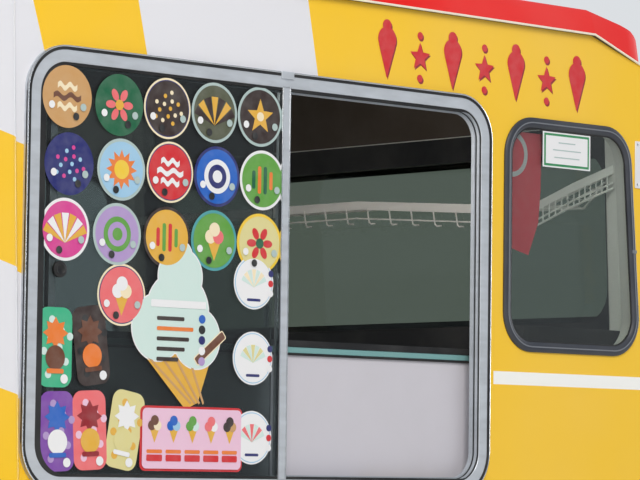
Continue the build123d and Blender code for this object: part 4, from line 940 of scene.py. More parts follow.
# Tall rounded cards
CARDS = (
    # x from the frame's left edge, height, tilt, face, dots, burst and bar, oval
    (0.077, 1.532, 0, "mint", "pale mint", "orange", "brown"),
    (0.174, 1.539, 8, "dark brown", "black", "brown", "orange"),
    (0.086, 1.356, 2, "purple", "lilac", "blue", "white"),
    (0.174, 1.360, 3, "rose", "pink", "deep red", "gold"),
    (0.270, 1.362, -10, "straw", "gold", "white", "straw"),
)
for x, z, tilt, face, second, one, two in CARDS:
    cx = HATCH_X + x
    burst_at, bar_at = (turned_outline([(0, rise)], cx, z, 1, tilt)[0] for rise in (0.030, -0.050))
    stick(turned_outline(bar_shape(0.090, 0.168, 0.024), cx, z, 1, tilt), face, 1)
    for k in range(9):
        a, r = k * GOLDEN_TURN, 0.026 * math.sqrt(k + 0.6)
        dot = circle(0.42 * r * math.cos(a) * 1.3, r * math.sin(a) * 0.9, 0.0085, 14)
        stick(turned_outline(dot, cx, z, 1, tilt), second, 2)
    stick(turned_outline(star_shape(8, 0.034, 0.022), *burst_at), one, 3)
    stick(turned_outline(circle(0, -0.022, 0.026, 28), cx, z, 1, tilt), two, 4)
    stick(turned_outline(bar_shape(0.046, 0.010, 0.004), *bar_at, 1, tilt), one, 5)
    stick(turned_outline(circle(0.024, -0.066, 0.010, 18), cx, z, 1, tilt), "white", 6)

# Price sign: three scoops on a wafer in pale mint, with plain rules where a list goes
sign_x, sign_z = HATCH_X + 0.410, 1.585
wafer = [(-0.100, -0.050), (0.030, -0.175), (0.066, -0.160), (0.105, -0.055), (0.0, -0.02)]
stick(turned_outline(wafer, sign_x, sign_z), "gold", 1)
for k in range(4):
    top, foot = 0.040 * k, 0.012 * k
    rule = [(-0.085 + top, -0.062), (-0.079 + top, -0.060), (0.048 + foot, -0.160), (0.044 + foot, -0.164)]
    stick(turned_outline(rule, sign_x, sign_z), "tan", 2)
SIGN_SCOOPS = (
    # right and up from the sign's middle, radius
    (-0.052, 0.0, 0.072), (0.060, -0.020, 0.066), (0.004, 0.034, 0.088), (0.010, 0.112, 0.062),
    (0.012, 0.158, 0.030),
)
for dx, dz, r in SIGN_SCOOPS:
    stick(circle(sign_x + dx, sign_z + dz, r + 0.003, 40), "white", 2)
    stick(circle(sign_x + dx, sign_z + dz, r, 40), "pale mint", 3)
SIGN_RULES = (
    # length and colour of a rule, colour of the dot at its end
    (0.078, "dark brown", "blue"), (0.104, "orange", "black"), (0.092, "dark brown", "navy"),
    (0.080, "dark brown", "white"), (0.062, "dark brown", "lilac"),
)
for k, (w, shade, dot_shade) in enumerate(SIGN_RULES):
    rule = bar_shape(w, 0.0085, 0.003)
    stick(turned_outline(rule, sign_x - 0.055 + w / 2, sign_z + 0.020 - 0.022 * k), shade, 5)
    stick(circle(sign_x + 0.074, sign_z + 0.022 - 0.023 * k, 0.0095, 18), dot_shade, 6)
stick(turned_outline(bar_shape(0.157, 0.016, 0.003), sign_x + 0.006, sign_z + 0.052), "white", 5)
stick(turned_outline(bar_shape(0.105, 0.022, 0.005), sign_x + 0.098, sign_z - 0.040, 1, 38), "cream", 4)
stick(turned_outline(bar_shape(0.100, 0.017, 0.004), sign_x + 0.098, sign_z - 0.040, 1, 38), "brown", 5)

# Pink panel with a red border and a row of small scoops
panel_x, panel_z = HATCH_X + 0.460, 1.346
stick(turned_outline(bar_shape(0.294, 0.140, 0.014), panel_x, panel_z), "red", 1)
stick(turned_outline(bar_shape(0.284, 0.130, 0.011), panel_x, panel_z), "pink", 7)
SCOOP_SHADES = (
    ("brown", "cream"), ("blue", "sky"), ("leaf", "pale mint"), ("rose", "white"), ("dark brown", "tan"),
)
for k, (one, two) in enumerate(SCOOP_SHADES):
    cx = panel_x - 0.108 + 0.054 * k
    motif_scoops(cx, panel_z + 0.022, 0.040, one, two, 8)
    stick(turned_outline(bar_shape(0.044, 0.008, 0.003), cx, panel_z - 0.028), "orange", 8)
    stick(turned_outline(bar_shape(0.044, 0.014, 0.003), cx, panel_z - 0.042), "red", 9)

# Red ornament along the fascia: cones, stars and dots in one row, each over its own darker drop shadow
FASCIA_X = HATCH_X + 1.045
FASCIA_Z = 2.254
FASCIA_PITCH = 0.108
FASCIA_FALL = 0.004
SHADOW_SHIFT = 0.004
FASCIA_CONE = [(-0.026, 0.010), (0.0, -0.066), (0.026, 0.010)]
for k in range(7):
    for shade, shift, level in (("deep red", SHADOW_SHIFT, 0), ("red", 0.0, 2)):
        x, z = FASCIA_X + FASCIA_PITCH * k + shift, FASCIA_Z - shift - FASCIA_FALL * k
        if k % 2 == 0:
            stick(turned_outline(FASCIA_CONE, x, z), shade, level, base=0.0)
            stick(circle(x, z + 0.024, 0.029, 28), shade, level + 1, base=0.0)
            stick(circle(x, z + 0.056, 0.014, 20), shade, level, base=0.0)
        else:
            stick(turned_outline(star_shape(5, 0.034, 0.015), x, z - 0.004), shade, level, base=0.0)
            stick(circle(x, z + 0.046, 0.009, 16), shade, level, base=0.0)
            stick(circle(x, z - 0.054, 0.009, 16), shade, level, base=0.0)

# Blank notice with a green border and a red pennant, both stuck inside the quarter window
notice_x, notice_z = HATCH_X + 1.658, 2.064
NOTICE_FACE = 0.001
NOTICE_SHEETS = ((0.170, 0.086, "white", 1), (0.160, 0.079, "leaf green", 2), (0.149, 0.068, "white", 3))
for w, h, shade, level in NOTICE_SHEETS:
    stick(turned_outline(bar_shape(w, h, 0.001), notice_x, notice_z), shade, level, base=NOTICE_FACE)
for k, w in enumerate((0.060, 0.100, 0.090)):
    rule = bar_shape(w, 0.0025, 0.001)
    stick(turned_outline(rule, notice_x, notice_z + 0.018 - 0.018 * k), "silver", 4, base=NOTICE_FACE)

for sheet in SHEETS.values():
    sheet.done()

PENNANT = ((1.462, 2.10), (1.462, 1.823), (1.539, 1.805), (1.573, 1.885), (1.580, 1.960), (1.583, 2.10))
Piece("window_pennant", "vinyl bright rose").prism(
    [NEAR @ Vector((HATCH_X + x, z, -0.014)) for x, z in PENNANT], (0, 0.0006, 0)
).done()
ring_arc = rounded_box(0.110, 0.110, 0.054, HATCH_X + 1.478, 2.045, 8)[9:27]
Piece("window_pennant_ring", "vinyl white").frame_ring(
    ring_arc, [(0, -0.0132), (0.012, -0.0132), (0.012, -0.0138), (0, -0.0138)], NEAR
).done()


# Windows: moulded rubber with a dull filler strip, in place of the plain seals

PANE_Z = (1.572, 2.136)
QUARTER_X = (HATCH_X + 1.440, HATCH_X + 1.932)
QUARTER_LEAN = (PANE_Z[1] - PANE_Z[0]) * WINDOW_RAKE
QUARTER = [
    (QUARTER_X[0], PANE_Z[0]), (QUARTER_X[1], PANE_Z[0]), (QUARTER_X[1] - QUARTER_LEAN, PANE_Z[1]),
    (QUARTER_X[0], PANE_Z[1]),
]
LONG_X = (HATCH_X + 0.060, HATCH_X + 1.300)
LONG_WINDOW = [(LONG_X[0], PANE_Z[0]), (LONG_X[1], PANE_Z[0]), (LONG_X[1], PANE_Z[1]), (LONG_X[0], PANE_Z[1])]
REAR_LOW, REAR_TOP = 1.655 * REAR_UP, 2.110 * REAR_UP
REAR_WINDOW = [(-0.880, REAR_LOW), (0.880, REAR_LOW), (0.880, REAR_TOP), (-0.880, REAR_TOP)]
WINDOW_R = 0.095
SCREEN_R = 0.080
screen_top = SCREEN_SLOPE.length - 0.080
SEAL_OUTLINES = (
    (QUARTER, WINDOW_R, NEAR),
    ([(-x, z) for x, z in reversed(QUARTER)], WINDOW_R, OFF),
    ([(-x, z) for x, z in reversed(LONG_WINDOW)], WINDOW_R, OFF),
    (REAR_WINDOW, WINDOW_R, REAR),
    ([(-0.880, 0.090), (0.880, 0.090), (0.845, screen_top), (-0.845, screen_top)], SCREEN_R, SCREEN),
)
# Section rows: inset from the outline, proud of the panel
RUBBER = [
    (0.0, 0.0), (0.0, 0.004), (0.004, 0.0075), (0.0085, 0.0085), (0.0165, 0.0085), (0.0205, 0.0065),
    (0.024, 0.003), (0.024, 0.0),
]
FILLER = [(0.0105, 0.0075), (0.0112, 0.0092), (0.0138, 0.0092), (0.0145, 0.0075)]
LIP = [(0.0235, 0.0), (0.0240, 0.0028), (0.0270, 0.0024), (0.0275, 0.0)]
rubber = Piece("window_rubber", "seal")
filler = Piece("window_filler", "filler")
lip = Piece("window_lip", "black")
for corners, radius, plane in SEAL_OUTLINES:
    outline = rounded(corners, radius, 12)
    rubber.frame_ring(outline, RUBBER, plane)
    filler.frame_ring(outline, FILLER, plane)
    lip.frame_ring(outline, LIP, plane)
rubber.done(replaces=["window_seals"], slot="seal_rubber")
filler.done()
lip.done()
Piece("window_filler_joint", "filler").box(
    HATCH_X + 1.893, HATCH_X + 1.908, -SIDE_Y - 0.0102, -SIDE_Y - 0.006, 1.828, 1.836
).done(bevel=0.0005)

# Black board round the rear window on its inner side
inner_z = -0.045 - 0.0035
board = Piece("rear_window_board", "black")
board.frame_ring(rounded(REAR_WINDOW, WINDOW_R, 12), [
    (0.0125, inner_z), (-0.052, inner_z), (-0.052, inner_z + 0.003), (0.0085, inner_z + 0.003),
    (0.0085, -0.007), (0.0125, -0.007),
], REAR)
board.done()

# Small blank plate with corner screws, behind the quarter window
SCREW_ROWS = [(0.0032, 0.0), (0.0032, 0.0042), (0.0018, 0.005), (0.0, 0.005)]
Piece("side_plate", "white").box(
    HATCH_X + 1.908, HATCH_X + 1.985, -SIDE_Y - 0.003, -SIDE_Y, 1.991, 2.108
).done(bevel=0.0012)
screws = Piece("side_plate_screws", "bright")
for x in (1.916, 1.977):
    for z in (2.000, 2.099):
        screws.turned(SCREW_ROWS, (HATCH_X + x, -SIDE_Y, z), (0, -1, 0), 12)
screws.done()

# Pale bead along the gutter, which drops towards the tail; its cream is partly a painted highlight of the
# gutter's bright edge
gutter_reach = GUTTER_Z + GUTTER_DROP_X * GUTTER_DROP
tail_x = (REAR_X - (gutter_reach - REAR_REF_Z) * REAR_RAKE) / (1 - GUTTER_DROP * REAR_RAKE)
tail_z = GUTTER_Z - (tail_x - GUTTER_DROP_X) * GUTTER_DROP
CROWN_Y = 1.012
FORWARD_CROWN_Y = 1.042
# Cream bead: partly painted highlight along the gutter edge
bead = Piece("gutter_bead", "cream")
for side in (-1, 1):
    line = [
        (-0.270, FORWARD_CROWN_Y, GUTTER_Z), (0.439, FORWARD_CROWN_Y, GUTTER_Z), (0.489, CROWN_Y, GUTTER_Z),
        (GUTTER_DROP_X, CROWN_Y, GUTTER_Z), (tail_x, 1.001, tail_z),
    ]
    bead.tube([(x, y * side, z) for x, y, z in line], 0.0029, 8)
bead.done()

# Moulded roof edge: squarer sides and tail on the plain crown

# Section of the edge: inward from the gutter, rise over it
EDGE_PROFILE = (
    (0.0, -0.002), (0.002, 0.012), (0.012, 0.044), (0.019, 0.056), (0.031, 0.0635), (0.048, 0.0670)
)
SIDE_STATIONS = (
    # x, gutter half width, shoulder half width, how far the edge is squared out
    (-0.262, FORWARD_CROWN_Y, 0.860, 0.0), (-0.160, FORWARD_CROWN_Y, 0.860, 1.0),
    (0.439, FORWARD_CROWN_Y, 0.860, 1.0), (0.489, CROWN_Y, 0.850, 1.0), (2.2672, CROWN_Y, 0.850, 1.0),
)
SHOULDER_RISE = 0.088
for name, side in SIDES:
    edge = Piece(f"roof_edge_{name}", "roof")
    rings = []
    for x, wide, shoulder, squared in SIDE_STATIONS:
        ring = []
        for inward, rise in EDGE_PROFILE:
            plain = inward * SHOULDER_RISE / (wide - shoulder) + 0.0008
            ring.append((x, side * (wide - inward), GUTTER_Z + plain + squared * (rise - plain)))
        ring += [(x, side * (shoulder + 0.004), GUTTER_Z + rise) for rise in (0.0865, 0.076)]
        ring.append((x, side * (wide - 0.012), GUTTER_Z - 0.002))
        rings.append(ring)
    edge.loft(rings)
    edge.done(smooth=28)

TAIL_STATIONS = (
    # x, how far the top has rounded down, how far the sides have rounded in
    (2.2670, 0.0, 0.0), (2.400, 0.0, 0.0), (2.430, 0.001, 0.0025), (2.455, 0.004, 0.0125),
    (2.478, 0.011, 0.032), (2.492, 0.024, 0.056), (2.498, 0.042, 0.080), (2.4992, 0.060, 0.088),
)
TAIL_CLOSED_X = 2.470
RIDGE_Y = 0.3825
RIM_RISE = 0.0635
RIM_FALL = 0.176


def tail_ring(x, down, narrow):
    """Ring across the tail: over the moulded top from side to side, and back along the plain crown."""
    aft = x - GUTTER_DROP_X
    back = aft / (tail_x - GUTTER_DROP_X)
    low = GUTTER_Z - aft * GUTTER_DROP
    rim = GUTTER_Z + RIM_RISE - aft * RIM_FALL - down
    wide = CROWN_Y - 0.012 * back - narrow
    blend = min(back / 0.58, 1.0)
    top = [
        (wide, low - 0.002), (wide - 0.002, low + 0.012), (wide - 0.012, rim - 0.0195),
        (wide - 0.019, rim - 0.0075), (wide - 0.031, rim), (wide - 0.048, rim + 0.0035),
        (0.850 - narrow * 0.6, rim + 0.0245 - 0.0105 * blend), (RIDGE_Y, rim + 0.0605 - 0.0265 * blend),
    ]
    under = [
        (RIDGE_Y, GUTTER_Z + 0.118 - 0.0995 * back), (0.850, GUTTER_Z + 0.082 - 0.0835 * back),
        (wide - 0.015, low - 0.002),
    ]
    if x > TAIL_CLOSED_X:
        under = [(y, low - 0.002) for y, z in under]
    ring = [(x, -y, z) for y, z in top] + [(x, y, z) for y, z in reversed(top)]
    return ring + [(x, y, z) for y, z in reversed(under)] + [(x, -y, z) for y, z in under]


Piece("roof_edge_tail", "roof").loft(
    [tail_ring(x, down, narrow) for x, down, narrow in TAIL_STATIONS]
).done(smooth=28)

# Serving counter: the edging strip and the dark gaps beside it, which show under the open half of the hatch;
# the gaps are black strips of painted shade

COUNTER_X = (0.534, 1.906)
DOOR_FRONT = -0.5085
Piece("counter_edging", "teal").box(*COUNTER_X, -0.9585, -0.9552, 1.5455, 1.5590).done(bevel=0.001)
# Black strips above and below the edging: painted shade in the gaps
gaps = Piece("counter_gaps", "black")
gaps.box(*COUNTER_X, -0.9600, -0.9552, 1.5595, 1.5740)
gaps.box(*COUNTER_X, -0.9600, -0.9552, 1.5400, 1.5450)
gaps.done()
Piece("counter_back_lip", "steel").box(
    0.545, 1.895, -0.512, -0.495, COUNTER_Z + 0.0002, COUNTER_Z + 0.024
).done(bevel=0.003)
counter_door = Piece("counter_doors", "laminate")
counter_pull = Piece("counter_pulls", "bright")
for k in range(3):
    x = 0.60 + 0.43 * k
    counter_door.box(x, x + 0.41, -0.5245, DOOR_FRONT, 0.82, 1.50)
    pull = ((0.12, DOOR_FRONT), (0.12, -0.488), (0.29, -0.488), (0.29, DOOR_FRONT))
    counter_pull.tube([(x + dx, y, 1.44) for dx, y in pull], 0.005)
counter_door.done(bevel=0.002)
counter_pull.done()


# Wire shelf on the rear wall, in place of the plain one: flat rail, loops under it and a mesh of wires

SHELF_BACK = 2.464
SHELF_HALF = 0.943
SHELF_TURN_Y = -0.800
SHELF_ROWS = (
    # x and y of the front edge, height of the wires
    (2.290, SHELF_HALF, 1.984), (2.290, -0.158, 1.984), (2.290, -0.582, 1.955), (2.290, SHELF_TURN_Y, 1.951),
    (2.350, -0.862, 1.998), (2.412, -SHELF_HALF, 2.044),
)
SHELF_RAIL = ((0, -0.015), (0.006, -0.015), (0.006, 0.008), (0, 0.008))
SHELF_FOOT = -0.053


def shelf_at(y):
    """Front edge of the shelf at y, which sags and then turns up and back at the nearside wall."""
    for (x0, y0, z0), (x1, y1, z1) in zip(SHELF_ROWS, SHELF_ROWS[1:]):
        if y >= y1:
            break
    t = (y0 - y) / (y0 - y1)
    return x0 + (x1 - x0) * t, z0 + (z1 - z0) * t


rail = Piece("shelf_rail", "wire")
rail.loft([[(x + dx, y, z + dz) for dx, dz in SHELF_RAIL] for x, y, z in SHELF_ROWS])
for x, y, z in (SHELF_ROWS[0], SHELF_ROWS[-1]):
    side = 1 if y > 0 else -1
    rail.box(x, SHELF_BACK, y, y + side * 0.012, z - 0.012, z + 0.008)
rail.done(bevel=0.001, replaces=["wire_shelf"], slot="shelf_wire")
wires = Piece("shelf_wires", "wire")
for depth in (0.045, 0.090, 0.135, 0.168):
    wires.tube([(min(x + depth, SHELF_BACK - 0.004), y, z + 0.001) for x, y, z in SHELF_ROWS], 0.0026, 6)
wires.tube([(x - 0.003, y, z - 0.038) for x, y, z in SHELF_ROWS], 0.0022, 6)
CROSS_COUNT = 54
for k in range(CROSS_COUNT):
    y = -SHELF_HALF + 2 * SHELF_HALF * (k + 0.5) / CROSS_COUNT
    x, z = shelf_at(y)
    wires.tube([(x + 0.002, y, z + 0.004), (SHELF_BACK - 0.002, y, z + 0.004)], 0.0018, 5)
wires.done()

# Hooks under the rail where it is level, and a dense lip of short wires where it turns up
hooks = Piece("shelf_hooks", "wire")
HOOK_PITCH = 0.081
HOOK_START_Y = -0.600
HOOK = ((0.0, -0.010), (-0.005, -0.036), (-0.008, -0.047), (-0.014, -0.052), (-0.030, -0.052))
for k in range(19):
    y = HOOK_START_Y + HOOK_PITCH * k
    x, z = shelf_at(y)
    hooks.tube([(x - 0.003, y + dy, z + dz) for dy, dz in HOOK], 0.0022, 6)
lip_places = [-0.640 - 0.023 * k for k in range(7)] + [SHELF_TURN_Y - 0.011 * k for k in range(1, 13)]
for y in lip_places:
    x, z = shelf_at(y)
    hooks.tube([(x - 0.003, y, z - 0.012), (x - 0.003, y, z + SHELF_FOOT)], 0.0020, 6)
LIP_START_Y = -0.630
x, z = shelf_at(LIP_START_Y)
lip_rows = [(x, LIP_START_Y, z)] + [row for row in SHELF_ROWS if row[1] <= SHELF_TURN_Y]
hooks.tube([(x - 0.003, y, z + SHELF_FOOT + 0.001) for x, y, z in lip_rows], 0.0026, 6)
hooks.done()


# Cab seats: stuffed pads on pressed bases, in place of the plain ones

SEAT_Y = 0.430
PADS = (
    # part, low corner, high corner, thin axis, side that shows, swell cap, cross channels, half middle
    (
        "cushion", (-0.940, -0.240, 0.882), (-0.506, 0.240, 1.018), 2, 1, 0.016,
        (-0.838, -0.748, -0.658, -0.568), 0.150,
    ),
    (
        "back", (-0.500, -0.230, 0.958), (-0.382, 0.230, 1.598), 0, -1, 0.016, (1.090, 1.200, 1.310, 1.420),
        0.145,
    ),
    ("head", (-0.485, -0.130, 1.632), (-0.387, 0.130, 1.798), 0, -1, 0.012, (), 0.0),
)
START_INSET = 0.011
EVEN_MESH = 0.013
CLOTH_FRAMES = 20
STUFFING_PRESSURE = 4.0
MIDDLE_SUNK = 0.009
SEAM_SUNK = 0.005
SEAM_WIDE = 0.008
MIDDLE_SEAM_WIDE = 0.007
FACE_START = 0.3
PIPING_R = 0.0032
HEM_INSET = 0.052
HEM_R = 0.050


def applied(made):
    """The mesh that an object shows once its modifiers are worked out."""
    graph = bpy.context.evaluated_depsgraph_get()
    return bpy.data.meshes.new_from_object(made.evaluated_get(graph))


def pad_block(low, high, thin):
    """Rounded block inside a box, its two flat sides across the thin axis."""
    centre, size = (low + high) / 2, high - low
    u, v = [axis for axis in range(3) if axis != thin]
    half = size[thin] / 2 - START_INSET
    round_by = 0.8 * half
    block = Piece("pad_block", "cloth")
    rings = []
    for k in range(10):
        turn = math.pi * (k / 9 - 0.5)
        inset = START_INSET + round_by * (1 - math.cos(turn))
        level = math.sin(turn) * round_by + math.copysign(half - round_by, turn)
        ring = []
        corner_r = 0.075 - inset * 0.6
        for x, y in rounded_plate(size[u] - 2 * inset, size[v] - 2 * inset, corner_r):
            place = Vector(centre)
            place[u] += x
            place[v] += y
            place[thin] += level
            ring.append(place)
        rings.append(ring)
    block.loft(rings)
    return block


def stuffed_pad(low, high, thin, shown, cap, channels, middle):
    """A pad's mesh: a block, evenly meshed, blown up by a short cloth run, then sewn across."""
    low, high = Vector(low), Vector(high)
    block = pad_block(low, high, thin)
    work = placed("pad_work", solid_mesh("pad_mesh", block.points, block.faces))
    even = work.modifiers.new("even mesh", "REMESH")
    even.mode, even.voxel_size = "VOXEL", EVEN_MESH
    work.data = applied(work)
    work.modifiers.clear()
    stuffing = work.modifiers.new("stuffing", "CLOTH")
    stuffing.settings.use_pressure = True
    stuffing.settings.uniform_pressure_force = STUFFING_PRESSURE
    stuffing.settings.effector_weights.gravity = 0.0
    stuffing.point_cache.frame_start, stuffing.point_cache.frame_end = 1, CLOTH_FRAMES
    for step in range(1, CLOTH_FRAMES + 1):
        bpy.context.scene.frame_set(step)
    blown = applied(work)
    for vertex, rest in zip(blown.vertices, work.data.vertices):
        move = vertex.co - rest.co
        if move.length > cap:
            move *= cap / move.length
        vertex.co = [min(max(rest.co[i] + move[i], low[i]), high[i]) for i in range(3)]
    bpy.context.scene.frame_set(1)
    work.modifiers.clear()
    work.data = blown
    work.modifiers.new("finer", "SUBSURF").levels = 1
    pad = applied(work)
    bpy.data.objects.remove(work)
    along = 2 if thin == 0 else 0
    waist = (low[thin] + high[thin]) / 2
    for vertex in pad.vertices:
        face = min(max((vertex.co[thin] - waist) * shown / (high[thin] - waist), 0.0), 1.0)
        if not channels or face < FACE_START:
            continue
        side = abs(vertex.co.y)
        sunk = MIDDLE_SUNK / (1 + math.exp((side - middle) / SEAM_WIDE))
        for place in channels:
            if side < middle:
                sunk += SEAM_SUNK * math.exp(-(((vertex.co[along] - place) / SEAM_WIDE) ** 2))
        sunk += SEAM_SUNK * math.exp(-(((side - middle) / MIDDLE_SEAM_WIDE) ** 2))
        vertex.co[thin] -= shown * sunk * min((face - FACE_START) * 2.5, 1.0)
    pad.shade_smooth()
    return pad


piping = {name: Piece(f"seat_piping_{name}", "black") for name, side in SIDES}
for part, low, high, thin, shown, cap, channels, middle in PADS:
    pad = stuffed_pad(low, high, thin, shown, cap, channels, middle)
    pad.materials.clear()
    pad.materials.append(M["cloth"])
    faces = [list(face.vertices) for face in pad.polygons]
    pad_surface = BVHTree.FromPolygons([vertex.co.copy() for vertex in pad.vertices], faces)
    low, high = Vector(low), Vector(high)
    u, v = [axis for axis in range(3) if axis != thin]
    hem = []
    for across, upward in rounded_plate(high[u] - low[u] - HEM_INSET, high[v] - low[v] - HEM_INSET, HEM_R):
        place = (low + high) / 2
        place[u] += across
        place[v] += upward
        place[thin] += shown * (high[thin] - low[thin]) * 0.42
        hem.append(pad_surface.find_nearest(place)[0])
    for name, side in SIDES:
        shift = Vector((0, side * SEAT_Y, 0))
        mesh = pad.copy()
        mesh.transform(Matrix.Translation(shift))
        made = placed(f"seat_{part}_{name}", mesh)
        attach(made, "body")
        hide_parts("seats")
        piping[name].tube([p + shift for p in hem], PIPING_R, 6, loop=True)

BASE_WALLS = (
    # height, how far the pressed base flares out
    (FLOOR_TOP + 0.0005, 0.012), (0.646, 0.013), (0.650, 0.010), (0.656, 0.0), (0.850, -0.006),
    (0.872, -0.010), (0.8795, -0.018),
)
HINGE_PLATE = (
    (-0.500, 0.855), (-0.440, 0.840), (-0.410, 0.900), (-0.415, 0.990), (-0.455, 1.010), (-0.490, 0.960)
)
RECLINER_ROWS = [(0.026, 0.0), (0.026, 0.010), (0.022, 0.014), (0.0, 0.014)]
SLIDE_BAR = ((-0.905, -0.09, 0.806), (-0.955, -0.09, 0.812), (-0.955, 0.09, 0.812), (-0.905, 0.09, 0.806))
for name, side in SIDES:
    piping[name].done()
    y = side * SEAT_Y
    base = Piece(f"seat_base_{name}", "chassis")
    rings = []
    for z, grow in BASE_WALLS:
        plan = rounded_plate(0.440 + 2 * grow, 0.400 + 2 * grow, 0.030)
        rings.append([(-0.680 + dx, y + dy, z) for dx, dy in plan])
    base.loft(rings)
    for edge in (-0.2345, 0.2345):
        base.prism([(x, y + edge - 0.003, z) for x, z in HINGE_PLATE], (0, 0.006, 0))
    base.tube([(-0.462, y - 0.236, 0.893), (-0.462, y + 0.236, 0.893)], 0.012, 12)
    base.done(bevel=0.002, replaces=["seats"])
    runners = Piece(f"seat_trim_{name}", "bright")
    for edge in (-0.060, 0.060):
        runners.tube([(-0.435, y + edge, 1.575), (-0.435, y + edge, 1.655)], 0.006, 12)
    runners.done()
    seat_levers = Piece(f"seat_levers_{name}", "black")
    seat_levers.turned(RECLINER_ROWS, (-0.452, y - side * 0.2375, 0.945), (0, -side, 0), 24)
    seat_levers.tube([(x, y + dy, z) for x, dy, z in SLIDE_BAR], 0.006, 8)
    seat_levers.done()


# Dashboard: instrument hood with two dials, vents, glove box, column shroud and stalks, pedals and gear lever

HOOD_FOOT = 1.125
HOOD_LINE = (
    (-1.800, 1.150), (-1.790, 1.196), (-1.745, 1.238), (-1.650, 1.244), (-1.612, 1.232), (-1.606, 1.220),
    (-1.640, 1.206), (-1.650, HOOD_FOOT),
)
HOOD_STATIONS = (
    # y from the wheel's middle, how far the hood has come down
    (-0.185, 0.5), (-0.178, 0.25), (-0.150, 0.0), (0.150, 0.0), (0.178, 0.25), (0.185, 0.5),
)
hood = Piece("dash_hood", "plastic")
rings = []
for dy, low_by in HOOD_STATIONS:
    row = [(x + 0.03 * low_by, HOOD_FOOT + (z - HOOD_FOOT) * (1 - low_by)) for x, z in HOOD_LINE]
    rings.append([(x, WHEEL_Y + dy, z) for x, z in row])
hood.loft(rings)
hood.done(bevel=0.003)

DIAL_ROWS = [(0.034, 0.0), (0.034, 0.003), (0.0, 0.003)]
DIAL_RIM_ROWS = [(0.033, 0.0), (0.037, 0.0), (0.037, 0.005), (0.034, 0.006), (0.033, 0.004)]
DIAL_OUT = Vector((1.0, 0, 0.12)).normalized()
DIAL_UP = Vector((-0.12, 0, 1.0)).normalized()
POINTER_TURN = 2.2
dials = Piece("dash_dials", "vinyl black")
dial_rims = Piece("dash_dial_rims", "bright")
marks = Piece("dash_dial_marks", "white")


def dial_aim(turn):
    """Direction on a dial's face, turned clockwise from the top."""
    return DIAL_UP * math.cos(turn) + Vector((0, 1, 0)) * math.sin(turn)


for y in (0.350, 0.510):
    centre = Vector((-1.6445, y, 1.166))
    dials.turned(DIAL_ROWS, centre, DIAL_OUT, 32)
    dial_rims.turned(DIAL_RIM_ROWS, centre, DIAL_OUT, 32, loop=True)
    for k in range(9):
        aim = dial_aim(math.radians(-120 + 30 * k))
        marks.tube(
            [centre + DIAL_OUT * 0.0035 + aim * 0.024, centre + DIAL_OUT * 0.0035 + aim * 0.030], 0.0008, 4
        )
    pivot = centre + DIAL_OUT * 0.0042
    marks.tube([pivot, pivot + dial_aim(POINTER_TURN) * 0.022], 0.0009, 4)
dials.done()
dial_rims.done()
marks.done()

GLOVE_BOX = ((-0.70, 0.845), (-0.22, 0.845), (-0.22, 0.990), (-0.70, 0.990))
VENT_FRAME = (
    # y from the vent's middle and z of the four edges
    (-0.070, 0.070, 1.030, 1.034), (-0.070, 0.070, 1.086, 1.090), (-0.070, -0.066, 1.030, 1.090),
    (0.066, 0.070, 1.030, 1.090),
)
vents = Piece("dash_vents", "black")
for y in (-0.78, -0.10, 0.12, 0.78):
    for y0, y1, z0, z1 in VENT_FRAME:
        vents.box(-1.592, -1.581, y + y0, y + y1, z0, z1)
    for k in range(5):
        vents.box(-1.590, -1.583, y - 0.066, y + 0.066, 1.040 + 0.009 * k, 1.043 + 0.009 * k)
for ends in zip(GLOVE_BOX, GLOVE_BOX[1:] + GLOVE_BOX[:1]):
    vents.tube([(-1.5795 - max(0.0, 0.96 - z) * 0.86, y, z) for y, z in ends], 0.0025, 4)
vents.done()

COLUMN_AXIS = Vector((0.80, 0, 0.60))
COLUMN_OVER = Vector((-0.60, 0, 0.80))
WHEEL_CENTRE = Vector((-1.400, WHEEL_Y, 1.240))
SHROUD_STATIONS = (
    # distance back from the wheel's middle, width, height
    (0.030, 0.080, 0.060), (0.040, 0.096, 0.075), (0.140, 0.104, 0.093), (0.215, 0.100, 0.090),
    (0.225, 0.080, 0.075),
)
shroud = Piece("column_shroud", "plastic")
rings = []
for back, w, h in SHROUD_STATIONS:
    middle = WHEEL_CENTRE - COLUMN_AXIS * back
    section = rounded_plate(w, h, 0.016)
    rings.append([middle + Vector((0, 1, 0)) * across + COLUMN_OVER * over for across, over in section])
shroud.loft(rings)
shroud.done(bevel=0.002)
stalks = Piece("column_stalks", "black")
for reach in (-1, 1):
    foot = WHEEL_CENTRE - COLUMN_AXIS * 0.075 + Vector((0, reach * 0.045, 0))
    bend, tip = Vector((0.012, reach * 0.060, 0.006)), Vector((0.018, reach * 0.125, 0.006))
    stalks.tube([foot, foot + bend, foot + tip], 0.0065, 10)
HUB_PAD_ROWS = [(0.044, 0.0), (0.046, 0.008), (0.036, 0.017), (0.0, 0.019)]
stalks.turned(HUB_PAD_ROWS, WHEEL_CENTRE + COLUMN_AXIS * 0.004, COLUMN_AXIS, 32)
stalks.done()

